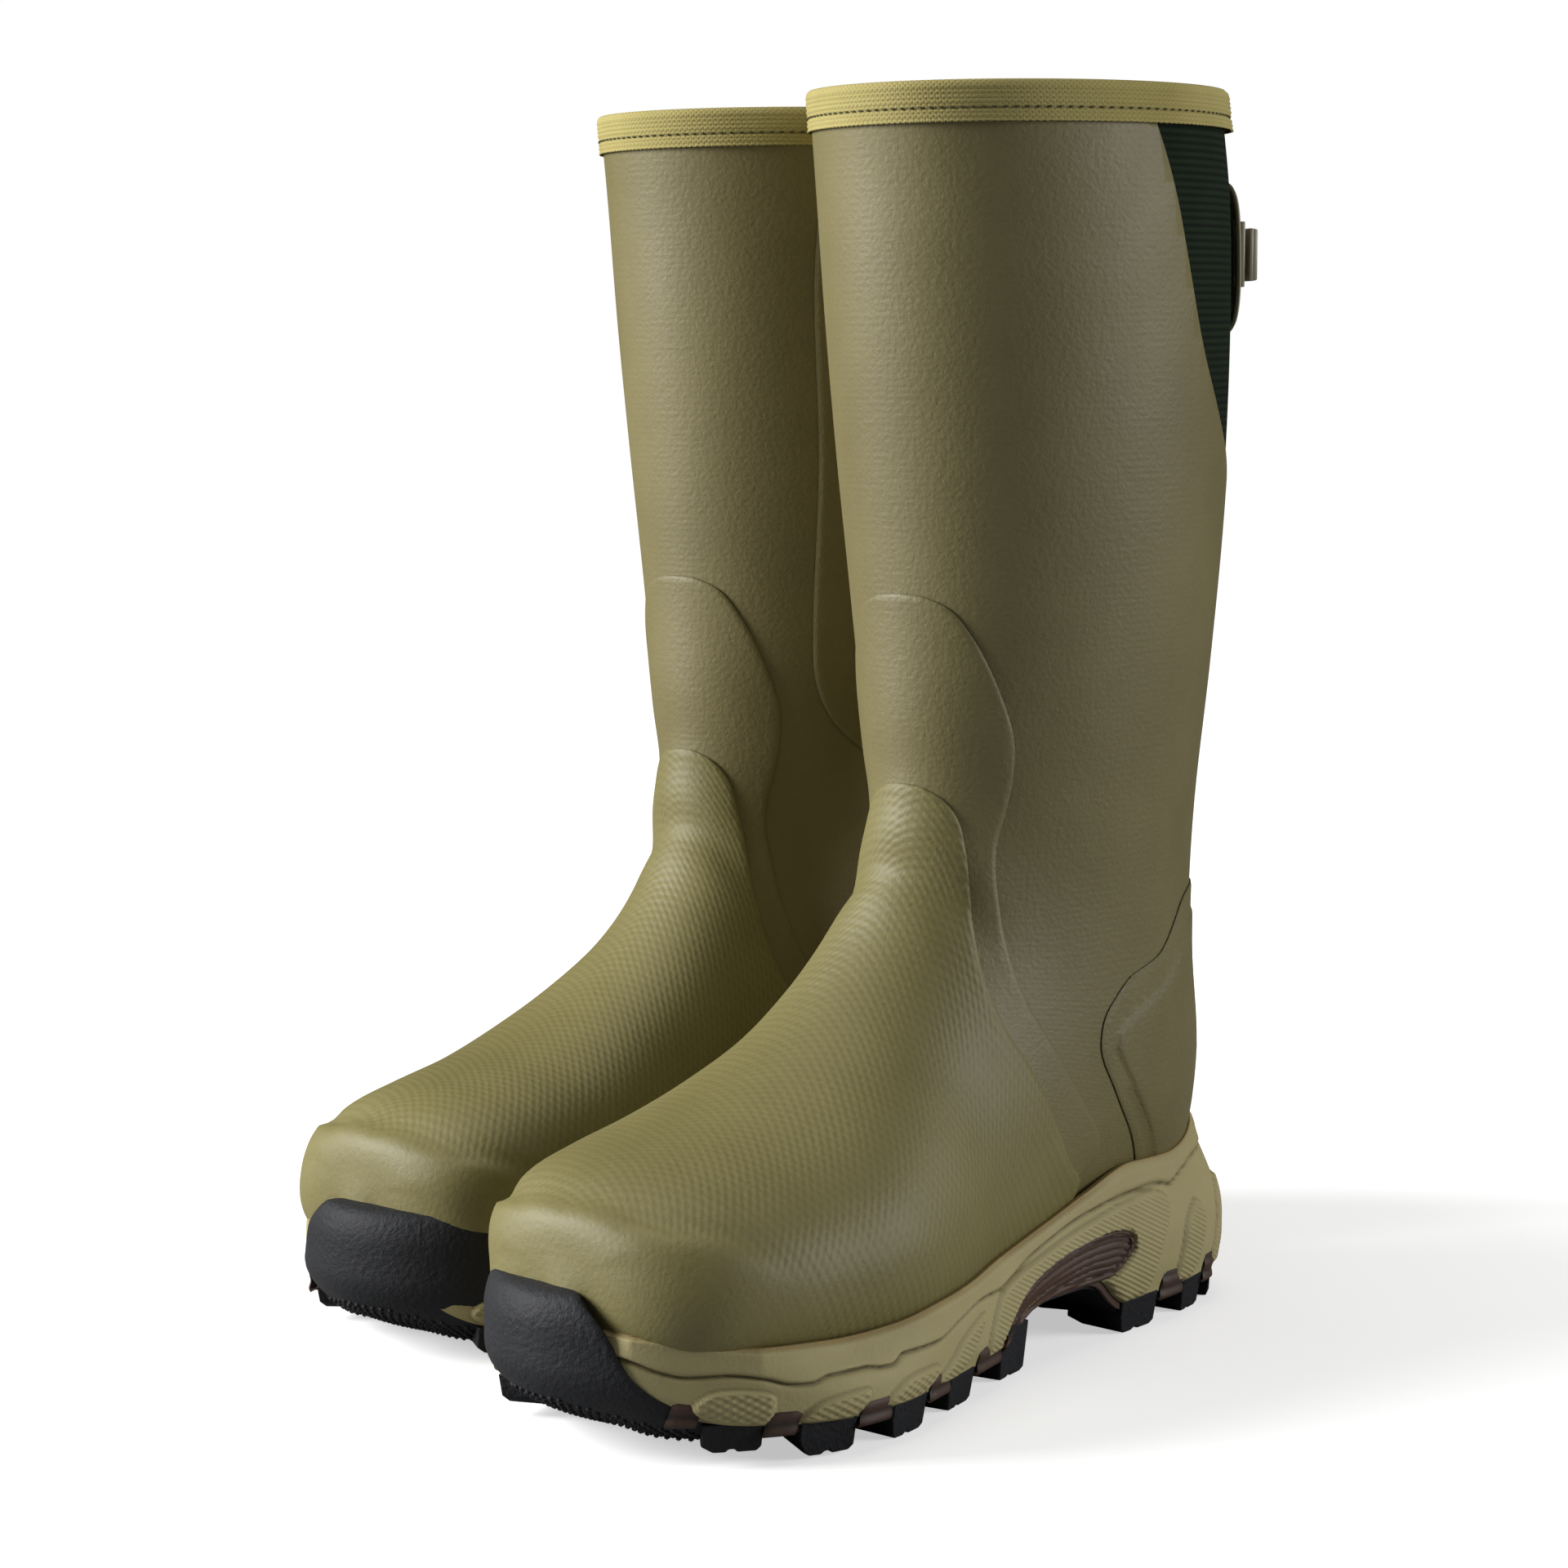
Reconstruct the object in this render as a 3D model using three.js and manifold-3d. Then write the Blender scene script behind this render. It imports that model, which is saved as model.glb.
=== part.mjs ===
// Pair of insulated hunting boots, millimetres, +Z up, toes towards -Y, the wearer's left boot at +X.
import * as THREE from 'three';
import { mergeVertices } from 'three/addons/utils/BufferGeometryUtils.js';
import Module from 'manifold-3d';

const wasm = await Module();
wasm.setup();

// ---- driving dimensions -------------------------------------------------------------------
const CLEAR = 0.3;          // gap between pieces that touch
const SPACING = 63.5;       // half the distance between the two boots at the heels
const TOE_OUT = 1.75;       // degrees each boot is turned outwards
const SETBACK = 17;         // half of the right boot's setback behind the left one
const LENGTH_CENTRE = -172; // y of the middle of one boot before it is set down

const SHELL_T = 2.4;        // rubber shell
const LINER_T = 3.4;        // foam liner
const OVERLAY_T = 1.0;      // bonded rubber overlays
const BINDING_LOW = 415;
const RIM = 430;
const VAMP_SPLIT = 8.5;     // station where the vamp shell meets the ankle shell
const SPLIT = 12.2;         // station where the ankle shell meets the shaft shell

const TREAD_BASE_LOW = 8.7;
const MIDSOLE_LOW = 14.3;
const FILM_LOW = 7.2;
const TOE_LUG_Y = -300;      // lugs further forward than this are shallower
const TOE_LUG_LIFT = 2.5;

// Stations from the toe tip to the rim: front line (y, z), rear line (y, z), half width, sideways
// centre, height of the widest line, roundness above and below it, sideways lean of the crest.
const STATIONS = [
  [-324, 60, -324, 50, 8, -4, 0.50, 2.0, 2.0, -1],
  [-322, 72, -323, 38, 27, -4, 0.46, 2.1, 2.3, -3],
  [-315, 79, -319, 33, 40, -4, 0.42, 2.2, 2.6, -6],
  [-301, 85, -308, 31, 49, -3, 0.40, 2.3, 3.0, -9],
  [-282, 89, -288, 30, 55, -2, 0.38, 2.3, 3.2, -10],
  [-257, 95, -262, 29, 58.5, -1, 0.36, 2.2, 3.3, -10],
  [-235, 104, -234, 28, 58.5, 1, 0.35, 2.1, 3.3, -10],
  [-213, 117, -203, 28, 54, 1, 0.35, 2.0, 3.2, -8],
  [-195, 132, -168, 30, 47.5, -1, 0.36, 2.0, 3.0, -6],
  [-181, 149, -127, 32, 44, -1.5, 0.38, 2.0, 2.8, -4],
  [-173, 166, -80, 35, 42.5, -1, 0.42, 2.0, 2.6, -2],
  [-169, 183, -38, 42, 42.5, -0.5, 0.46, 2.0, 2.4, 0],
  [-168, 200, -22, 75, 43, 0, 0.50, 2.0, 2.2, 0],
  [-170, 219, -27, 120, 45.5, 0, 0.50, 2.0, 2.1, 0],
  [-171, 242, -27, 170, 50, 0, 0.50, 2.0, 2.0, 0],
  [-173, 270, -22, 227, 55, 0, 0.50, 2.0, 2.0, 0],
  [-177, 309, -18, 282, 59.5, 0, 0.50, 2.0, 2.0, 0],
  [-182, 353, -16, 337, 62, 0, 0.50, 2.0, 2.0, 0],
  [-186, 397, -18, 388, 63.5, 0, 0.50, 2.0, 2.0, 0],
  [-190, 430, -24, 430, 62.5, 0, 0.50, 2.0, 2.0, 0],
];
const LAST = STATIONS.length - 1;
const GRID = [0, 0.7, 1.5, 2.7, 4.4, 6.4, 8.2, 9.6, 10.6, 11.5, 12.4, 13.5, 15, 17, 19];
const GRID_INSIDE = [0, 1.5, 2.7, 4.4, 6.4, 8.2, 9.6, 10.6, 11.5, 12.4, 13.5, 15, 19];
const AROUND = 20;
const FACET_TOLERANCE = 0.05;
const KEEP_FACETS = ['midsole', 'arch_shank'];

// Plan outline of the sole of a left boot (x, y), once round from the heel by the outer side.
const SOLE_OUTLINE = [
  [0, -10], [22, -15], [37, -31], [45, -54], [49, -90], [51.5, -130], [56, -172], [61, -210],
  [66, -245], [63, -272], [53, -294], [38, -314], [20, -329], [-6, -337], [-30, -332],
  [-48, -317], [-57, -294], [-60, -262], [-58, -225], [-54, -182], [-50, -140], [-47, -95],
  [-44, -58], [-36, -31], [-21, -15],
];

// Height of the top edge of the midsole wall against the distance from the heel (y, z).
const MIDSOLE_TOP = [[-340, 44], [-300, 37], [-260, 35], [-200, 37], [-160, 42], [-125, 50],
  [-90, 60], [-60, 67], [-10, 71]];

// Lugs along the two edges, as ranges of y, and the lugs of the middle row (x, y, half sizes).
const EDGE_LUGS = [[-36, -20], [-63, -47], [-106, -78], [-178, -157], [-217, -196], [-251, -229],
  [-283, -262], [-306, -291]];
const MIDDLE_LUGS = [
  [0, -24, 9, 6], [0, -50, 11, 7], [0, -82, 12, 8], [2, -168, 12, 7], [3, -192, 14, 7],
  [3, -216, 16, 7], [2, -240, 17, 7], [0, -264, 16, 7], [-2, -287, 14, 6],
];

// Overlay edges on the left boot: station, degrees round the section (0 outer side, 90 front).
const SHIN_OUTER = [[9.9, -20], [9.8, 6], [9.8, 30], [10.4, 44], [11, 50], [11.5, 51], [12.2, 48],
  [13.2, 45], [13.9, 54], [14.3, 62], [14.55, 74]];
const SHIN_INNER = [[9.9, 200], [9.8, 174], [9.8, 150], [10.4, 138], [11, 133], [12.2, 134],
  [13.2, 136], [13.9, 128], [14.3, 118], [14.55, 106]];
const VAMP_OUTER = [[1, -40], [6, -40], [8.6, -34], [9.3, -14], [9.3, 16], [9.2, 30], [9.5, 44],
  [10, 52], [10.6, 58], [11.2, 64], [11.6, 74]];
const VAMP_INNER = [[1, 220], [6, 220], [8.6, 214], [9.3, 194], [9.3, 164], [9.2, 150], [9.5, 136],
  [10, 129], [10.6, 123], [11.2, 117], [11.6, 106]];

const GUSSET_FRONT = [[15.9, -50], [16.2, -40], [16.6, -22], [17, -11], [17.5, -4], [18, 1], [18.6, 6]];
const GUSSET_REAR = [[15.9, -62], [18.6, -56]];
const BUCKLE_Z = 376;
const BUCKLE_ANGLE = -68;

// Finishes: colour, roughness.
const FINISHES = {
  shell_rubber: [0x7a7452, 0.62],
  overlay_rubber: [0x7a7452, 0.6],
  vamp_rubber: [0x837c55, 0.7],
  liner_foam: [0x3b3f35, 0.95],
  footbed_foam: [0x3b3f35, 0.95],
  gusset_knit: [0x1f3026, 0.95],
  binding_tape: [0x9c8f5a, 0.95],
  tab_rubber: [0x9b9683, 0.7],
  strap_webbing: [0x1f3026, 0.9],
  buckle_plastic: [0x8b8675, 0.45],
  midsole_foam: [0x9a8f69, 0.8],
  brown_rubber: [0x3d2a20, 0.7],
  black_rubber: [0x2a2b2d, 0.8],
};

// ---- small helpers ------------------------------------------------------------------------
const rad = (deg) => deg * Math.PI / 180;
const clamp = (v, lo, hi) => Math.min(hi, Math.max(lo, v));
const smooth = (a, b, v) => {
  const f = clamp((v - a) / (b - a), 0, 1);
  return f * f * (3 - 2 * f);
};

// Straight-line interpolation in a list of [key, value] pairs sorted by key.
function lerpTable(table, key) {
  if (key <= table[0][0]) return table[0][1];
  for (let i = 1; i < table.length; i += 1) {
    if (key <= table[i][0]) {
      const f = (key - table[i - 1][0]) / (table[i][0] - table[i - 1][0]);
      return table[i - 1][1] + f * (table[i][1] - table[i - 1][1]);
    }
  }
  return table[table.length - 1][1];
}

// Catmull-Rom interpolation of the station rows.
function station(t) {
  const s = clamp(t, 0, LAST);
  const i = Math.min(Math.floor(s), LAST - 1);
  const f = s - i;
  const p1 = STATIONS[i];
  const p2 = STATIONS[i + 1];
  const p0 = i > 0 ? STATIONS[i - 1] : p1.map((v, k) => 2 * v - p2[k]);
  const p3 = i < LAST - 1 ? STATIONS[i + 2] : p2.map((v, k) => 2 * v - p1[k]);
  return p1.map((v, k) => 0.5 * (2 * v + (p2[k] - p0[k]) * f
    + (2 * p0[k] - 5 * v + 4 * p2[k] - p3[k]) * f * f
    + (3 * v - p0[k] - 3 * p2[k] + p3[k]) * f * f * f));
}

// Point of the boot's outer surface at a station and an angle round the section.
function surface(t, deg) {
  const [dy, dz, py, pz, w, c, m, above, below, lean] = station(t);
  const co = Math.cos(rad(deg));
  const si = Math.sin(rad(deg));
  const n = si >= 0 ? above : below;
  const up = Math.sign(si) * Math.abs(si) ** (2 / n);
  const x = c + w * Math.sign(co) * Math.abs(co) ** (2 / n) + lean * Math.max(up, 0) ** 1.5;
  const q = up >= 0 ? m + (1 - m) * up : m + m * up;
  return new THREE.Vector3(x, py + (dy - py) * q, pz + (dz - pz) * q);
}

// Point at a distance outside (+) or inside (-) the outer surface.
function offset(t, deg, d) {
  const p = surface(t, deg);
  p.z += Math.max(0, t - LAST) * 40;
  if (d === 0) return p;
  const dt = surface(Math.min(t + 0.05, LAST), deg).sub(surface(Math.max(t - 0.05, 0), deg));
  const da = surface(t, deg + 1.5).sub(surface(t, deg - 1.5));
  const n = new THREE.Vector3().crossVectors(da, dt).normalize();
  const centre = surface(t, 0).add(surface(t, 180)).multiplyScalar(0.5);
  if (n.dot(p.clone().sub(centre)) < 0) n.negate();
  return p.addScaledVector(n, d);
}

const steps = (a, b, n) => Array.from({ length: n + 1 }, (_, i) => a + (b - a) * i / n);

// Closed body through equal rings of points; the ends are closed by a fan, a ladder or a loop.
function loft(rings, ends = 'fan') {
  const n = rings[0].length;
  const pos = rings.flat().flatMap((p) => [p.x, p.y, p.z]);
  const idx = [];
  const last = rings.length - 1;
  const rows = ends === 'loop' ? rings.length : last;
  for (let r = 0; r < rows; r += 1) {
    const a = r * n;
    const b = ((r + 1) % rings.length) * n;
    for (let i = 0; i < n; i += 1) {
      const j = (i + 1) % n;
      idx.push(a + i, a + j, b + j, a + i, b + j, b + i);
    }
  }
  for (const [r, flip] of ends === 'loop' ? [] : [[0, true], [last, false]]) {
    const tri = (i, j, k) => (flip ? idx.push(r * n + j, r * n + i, k) : idx.push(r * n + i, r * n + j, k));
    if (ends === 'fan') {
      const c = rings[r].reduce((s, p) => s.add(p), new THREE.Vector3()).divideScalar(n);
      const k = pos.length / 3;
      pos.push(c.x, c.y, c.z);
      for (let i = 0; i < n; i += 1) tri(i, (i + 1) % n, k);
    } else {
      for (let i = 0; i < n / 2 - 1; i += 1) {
        tri(i, i + 1, r * n + n - 1 - i);
        tri(i + 1, n - 2 - i, r * n + n - 1 - i);
      }
    }
  }
  const g = new THREE.BufferGeometry();
  g.setAttribute('position', new THREE.Float32BufferAttribute(pos, 3));
  g.setIndex(idx);
  return g;
}

const ring = (t, d, count) => steps(0, 360, count).slice(0, count).map((deg) => offset(t, deg, d));

// Thin curved panel: rows at stations, each from one edge angle to the other.
function panel(rows, edgeA, edgeB, low, high, across) {
  return solid(loft(rows.map((t) => {
    const angles = steps(edgeA(t), edgeB(t), across);
    const top = angles.map((deg) => offset(t, deg, high));
    const under = angles.map((deg) => offset(t, deg, low)).reverse();
    return [...top, ...under];
  }), 'ladder'));
}

// Manifold solid from a geometry, turned the right way out.
function solid(geometry) {
  const g = geometry.clone();
  for (const name of Object.keys(g.attributes)) if (name !== 'position') g.deleteAttribute(name);
  const m = mergeVertices(g, 1e-4);
  const index = [...m.index.array];
  const keep = [];
  for (let i = 0; i < index.length; i += 3) {
    const [a, b, c] = index.slice(i, i + 3);
    if (a !== b && b !== c && a !== c) keep.push(a, b, c);
  }
  const make = (tri) => new wasm.Manifold(new wasm.Mesh({
    numProp: 3,
    vertProperties: new Float32Array(m.attributes.position.array),
    triVerts: new Uint32Array(tri),
  }));
  const p = m.attributes.position;
  let volume = 0;
  const v = [0, 1, 2].map(() => new THREE.Vector3());
  for (let i = 0; i < keep.length; i += 3) {
    v.forEach((q, k) => q.fromBufferAttribute(p, keep[i + k]));
    volume += v[0].dot(v[1].clone().cross(v[2]));
  }
  if (volume < 0) for (let i = 0; i < keep.length; i += 3) [keep[i], keep[i + 1]] = [keep[i + 1], keep[i]];
  return make(keep);
}

// Geometry of the largest connected body; a tolerance joins its nearly flat facets.
function geometryOf(manifold, tolerance) {
  const whole = manifold.decompose().reduce((a, b) => (b.volume() > a.volume() ? b : a));
  const mesh = (tolerance ? whole.simplify(tolerance) : whole).getMesh();
  const g = new THREE.BufferGeometry();
  const pos = [];
  for (let i = 0; i < mesh.numVert; i += 1) {
    pos.push(...mesh.vertProperties.slice(i * mesh.numProp, i * mesh.numProp + 3));
  }
  g.setAttribute('position', new THREE.Float32BufferAttribute(pos, 3));
  g.setIndex([...mesh.triVerts]);
  return g;
}

const box = (x0, x1, y0, y1, z0, z1) => solid(new THREE.BoxGeometry(x1 - x0, y1 - y0, z1 - z0)
  .translate((x0 + x1) / 2, (y0 + y1) / 2, (z0 + z1) / 2));

// Upright prism over a plan polygon.
function prism(points, z0, z1) {
  const level = (z) => points.map(([x, y]) => new THREE.Vector3(x, y, z));
  return solid(loft([level(z0), level(z1)]));
}

// Whole boot as one solid at a distance from its outer surface, run past the rim.
const bodies = new Map();
function body(d, grid = GRID, around = AROUND) {
  const key = `${d}/${grid.length}/${around}`;
  if (!bodies.has(key)) {
    const rings = grid.filter((t) => t >= -d / 9).map((t) => ring(t, d, around));
    const top = rings[rings.length - 1].map((p) => p.clone().setZ(RIM + 20));
    bodies.set(key, solid(loft([...rings, top])));
  }
  return bodies.get(key);
}

const layer = (low, high, region) => body(high).subtract(body(low)).intersect(region);

// ---- sole outline -------------------------------------------------------------------------
const outlineCurve = new THREE.CatmullRomCurve3(
  SOLE_OUTLINE.map(([x, y]) => new THREE.Vector3(x, y, 0)), true, 'centripetal');

// Ring of the sole outline moved inwards by a distance, at a height.
function outlineRing(inset, z, count) {
  return steps(0, 1, count).slice(0, count).map((s) => {
    const p = outlineCurve.getPoint(s);
    const d = outlineCurve.getTangent(s);
    const lift = typeof z === 'function' ? z(p) : z;
    const back = typeof inset === 'function' ? inset(p) : inset;
    return new THREE.Vector3(p.x + d.y * back, p.y - d.x * back, lift);
  });
}

function soleSolid(levels, count = 40) {
  return solid(loft(levels.map(([inset, z]) => outlineRing(inset, z, count))));
}

// ---- parts of one boot --------------------------------------------------------------------
const midsoleTop = (p) => lerpTable(MIDSOLE_TOP, p.y);

// The region at the front of the sole that the toe bumper fills.
function bumperRegion(grow) {
  const g = grow;
  return prism([[32 + g, -370], [24 + g, -322 + g], [8, -303 + g], [-38, -297 + g],
    [-56 - g, -300 + g], [-80, -306 + g], [-80, -370]], -5, 90);
}

// Arch shank: an upright leaf on each side joined by a plate under the arch.
function shankForm(grow) {
  const leaf = [[-154, 17], [-146, 32], [-130, 40], [-112, 45], [-98, 44], [-93, 34], [-96, 22], [-104, 15]];
  const flat = leaf.map(([y, z]) => [y, z]);
  const mid = [-124, 29];
  const spread = flat.map(([y, z]) => {
    const d = Math.hypot(y - mid[0], z - mid[1]);
    return [y + (y - mid[0]) / d * grow, z + (z - mid[1]) / d * grow];
  });
  const side = (x) => spread.map(([y, z]) => new THREE.Vector3(x, y, z));
  const leaves = solid(loft([side(-80), side(80)]));
  const plate = box(-80, 80, -150 - grow, -100 + grow, MIDSOLE_LOW - 1, 18.5 + grow);
  const outer = soleSolid([[3.4 - grow, MIDSOLE_LOW - 1], [1.6 - grow, 20], [1.4 - grow, 34], [4 - grow, 52]]);
  const core = soleSolid([[6 + grow, 10], [6 + grow, 60]]).subtract(box(-80, 80, -200, -50, 0, 18.5 + grow));
  const floor = box(-80, 80, -200, -50, 0, grow > 0 ? MIDSOLE_LOW - 0.9 : MIDSOLE_LOW);
  return leaves.add(plate).intersect(outer).subtract(core).subtract(floor).subtract(body(POCKET + CLEAR - grow));
}

function midsoleOuter() {
  const lean = (p) => 3.5 + 3.5 * smooth(40, 66, midsoleTop(p));
  return soleSolid([[3, MIDSOLE_LOW], [0.4, 19], [0, 30], [lean, midsoleTop]], 44);
}

const POCKET = 2 * OVERLAY_T + 3 * CLEAR + 0.2;

function makeMidsole() {
  const pocket = body(POCKET).subtract(box(-120, 120, -400, 40, -20, 28.6));
  return midsoleOuter().subtract(body(CLEAR)).subtract(pocket)
    .subtract(bumperRegion(CLEAR)).subtract(shankForm(CLEAR));
}

function makeBumper() {
  const wall = soleSolid([[9, 5], [2, 11], [-1.4, 24], [-1.4, 42], [2.4, 52.5]], 44);
  return wall.intersect(bumperRegion(0)).subtract(body(POCKET));
}

function makeTreadBase() {
  const slab = soleSolid([[4.2, TREAD_BASE_LOW], [4.2, MIDSOLE_LOW - CLEAR]]);
  return slab.subtract(bumperRegion(CLEAR));
}

// One edge lug: its outer face follows the outline, its underside is chamfered.
function edgeLug(side, [y0, y1], depth) {
  const lift = y0 < TOE_LUG_Y ? TOE_LUG_LIFT : 0;
  const at = (y, inset) => {
    const x = outlineX(side, y);
    return [x - side * inset, y];
  };
  const foot = [at(y0, 3.4), at((y0 + y1) / 2, 3.4), at(y1, 3.4), at(y1, depth), at(y0, depth)];
  const shrink = (k) => {
    const cx = foot.reduce((s, p) => s + p[0], 0) / foot.length;
    const cy = (y0 + y1) / 2;
    return foot.map(([x, y]) => new THREE.Vector3(cx + (x - cx) * k, cy + (y - cy) * k, 0));
  };
  const level = (k, z) => shrink(k).map((p) => p.setZ(z));
  return solid(loft([level(0.88, lift), level(1, lift + 2.4), level(1.05, TREAD_BASE_LOW)], 'fan'));
}

// Outline x on one side at a given y.
function outlineX(side, y) {
  const pts = outlineCurve.getPoints(400).filter((p) => (side > 0 ? p.x > -4 : p.x < -4));
  let best = pts[0];
  for (const p of pts) if (Math.abs(p.y - y) < Math.abs(best.y - y)) best = p;
  return best.x;
}

function middleLug([x, y, a, b]) {
  const level = (k, z) => [[-a, -b * 0.4], [0, -b], [a, -b * 0.4], [a, b], [0, b * 0.3], [-a, b]]
    .map(([u, v]) => new THREE.Vector3(x + u * k, y + v * k, z));
  return solid(loft([level(0.86, 0.6), level(1.04, TREAD_BASE_LOW - 0.2)], 'ladder'));
}

function makeOutsole() {
  let body = soleSolid([[5, FILM_LOW], [5, TREAD_BASE_LOW - CLEAR]]);
  for (const range of EDGE_LUGS) {
    const deep = range[0] > -110 ? 26 : 30;
    for (const side of [1, -1]) body = body.add(edgeLug(side, range, deep));
  }
  for (const lug of MIDDLE_LUGS) body = body.add(middleLug(lug));
  const top = box(-120, 120, -400, 40, TREAD_BASE_LOW - CLEAR, 40);
  return body.subtract(top).subtract(bumperRegion(CLEAR));
}

const LINER_OUT = SHELL_T + CLEAR;
const LINER_IN = LINER_OUT + LINER_T;

// Removable insole: the bottom of the space inside the liner.
function makeFootbed() {
  const space = body(-LINER_IN - CLEAR, GRID_INSIDE, 16);
  const plan = solid(loft([[9.5, 25], [9.5, 54]].map(([inset, z]) => outlineRing(inset, z, 28))));
  return space.subtract(space.translate([0, 0, 4.5])).intersect(plan);
}

const edgeOf = (table) => (t) => lerpTable(table, t);

function gussetRegion(grow) {
  const rows = steps(15.9 - grow * 0.02, 19.3, 8);
  const front = edgeOf(GUSSET_FRONT);
  const rear = edgeOf(GUSSET_REAR);
  return panel(rows, (t) => front(t) + grow, (t) => rear(t) - grow, -5, 4, 4);
}

// Frame at the buckle: outward, along the strap (backwards round the calf) and up.
function buckleFrame() {
  let t = 17.5;
  for (let i = 0; i < 20; i += 1) t += (BUCKLE_Z - surface(t, BUCKLE_ANGLE).z) / 52;
  const p = surface(t, BUCKLE_ANGLE);
  const out = offset(t, BUCKLE_ANGLE, 1).sub(p).setZ(0).normalize();
  const up = new THREE.Vector3(0, 0, 1);
  const along = new THREE.Vector3().crossVectors(up, out).normalize();
  return { t, m: new THREE.Matrix4().makeBasis(along, up, out).setPosition(p) };
}

const place = (manifold, m) => manifold.transform([...m.elements]);

// Oval region for the rubber tabs bonded to the shaft.
function ovalRegion(t, deg, halfHigh, halfWide) {
  const shape = (k) => Math.sqrt(Math.max(0.03, 1 - k ** 4));
  const rows = steps(-1, 1, 8).map((k) => t + k * halfHigh);
  return panel(rows, (s) => deg + halfWide * shape((s - t) / halfHigh),
    (s) => deg - halfWide * shape((s - t) / halfHigh), -1, 7, 4);
}

const PIN_OUT = 9.5;
const PIN_ALONG = 8.5;

function upright(radius, length, sides) {
  return solid(new THREE.CylinderGeometry(radius, radius, length, sides));
}

function makeBuckle() {
  const plate = box(-13, 13, -11.5, 11.5, 4.3, 5.8).subtract(box(-9.5, -6.5, -8.5, 8.5, 4, 8));
  const cheek = (y) => box(3.5, 12.4, y - 0.9, y + 0.9, 5.4, 11.5);
  const pinHole = upright(1.3, 40, 12).translate([PIN_ALONG, 0, PIN_OUT]);
  return plate.add(cheek(10.6)).add(cheek(-10.6)).subtract(pinHole);
}

function makeLever() {
  const pin = upright(1, 23, 12).translate([PIN_ALONG, 0, PIN_OUT]);
  const barrel = upright(1.6, 18.6, 12).translate([PIN_ALONG, 0, PIN_OUT]);
  const blade = box(-10.5, PIN_ALONG, -9.3, 9.3, 9.0, 10.6);
  const lip = box(-10.5, -9.1, -9.3, 9.3, 10.4, 12.2);
  return pin.add(barrel).add(blade).add(lip);
}

// Webbing: flat on the buckle plate, then round the back of the calf to the inner tab.
function makeStrap(frame) {
  const local = (u, h) => new THREE.Vector3(u, 0, h).applyMatrix4(frame.m);
  const back = steps(-90, -156, 8);
  const round = (d) => back.map((deg) => offset(frame.t, deg, d).setZ(BUCKLE_Z));
  const lower = [local(-9, 6.1), local(3, 6.1), local(13.4, 6.1), ...round(4.8)];
  const upper = [local(-9, 7.4), local(3, 7.4), local(14, 7.4), ...round(6.1)];
  const outline = [...lower, ...upper.reverse()];
  const level = (dz) => outline.map((p) => new THREE.Vector3(p.x, p.y, BUCKLE_Z + dz));
  return solid(loft([level(-7.5), level(7.5)], 'ladder'));
}

const above = (z) => box(-120, 120, -400, 60, z, 600);
const below = (z) => box(-120, 120, -400, 60, -60, z);

// Tape folded over the rim: down the outside, across the top and down the inside.
function makeBinding() {
  const inner = -LINER_IN - CLEAR;
  const inside = (d) => body(d, GRID_INSIDE, 16);
  const outerLeg = body(CLEAR + 1.4).subtract(body(CLEAR));
  const innerLeg = inside(inner).subtract(inside(inner - 1.3));
  const cap = body(CLEAR + 1.4).subtract(inside(inner - 1.3)).intersect(above(RIM + CLEAR));
  return outerLeg.add(innerLeg).intersect(above(BINDING_LOW)).add(cap).intersect(below(RIM + CLEAR + 1.3));
}

// Slab parallel to the section at a station, from one distance past it to another.
function slab(t, from, to) {
  const [dy, dz, py, pz] = station(t);
  const tilt = Math.atan2(dz - pz, py - dy);
  return box(-150, 150, -300, 300, from, to).rotate([-tilt * 180 / Math.PI, 0, 0])
    .translate([0, (dy + py) / 2, (dz + pz) / 2]);
}

const SHIN_ROWS = [9.9, 10.4, 11, 11.6, 12.2, 12.8, 13.3, 13.9, 14.3, 14.55];
const VAMP_ROWS = [0.9, 2, 3.5, 5.5, 7.4, 8.6, 9.3, 9.8, 10.4, 11, 11.6];
const HEEL_OUTER = [[10.7, -8], [11.2, 3], [11.8, -2], [12.8, -22], [13.6, -50]];
const HEEL_INNER = [[10.7, -172], [11.2, -183], [11.8, -178], [12.8, -158], [13.6, -130]];
const GUARD_FRONT = [[13.4, 152], [14, 143], [18.2, 143]];
const GUARD_REAR = [[13.4, 184], [14, 200], [18.2, 206]];

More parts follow.
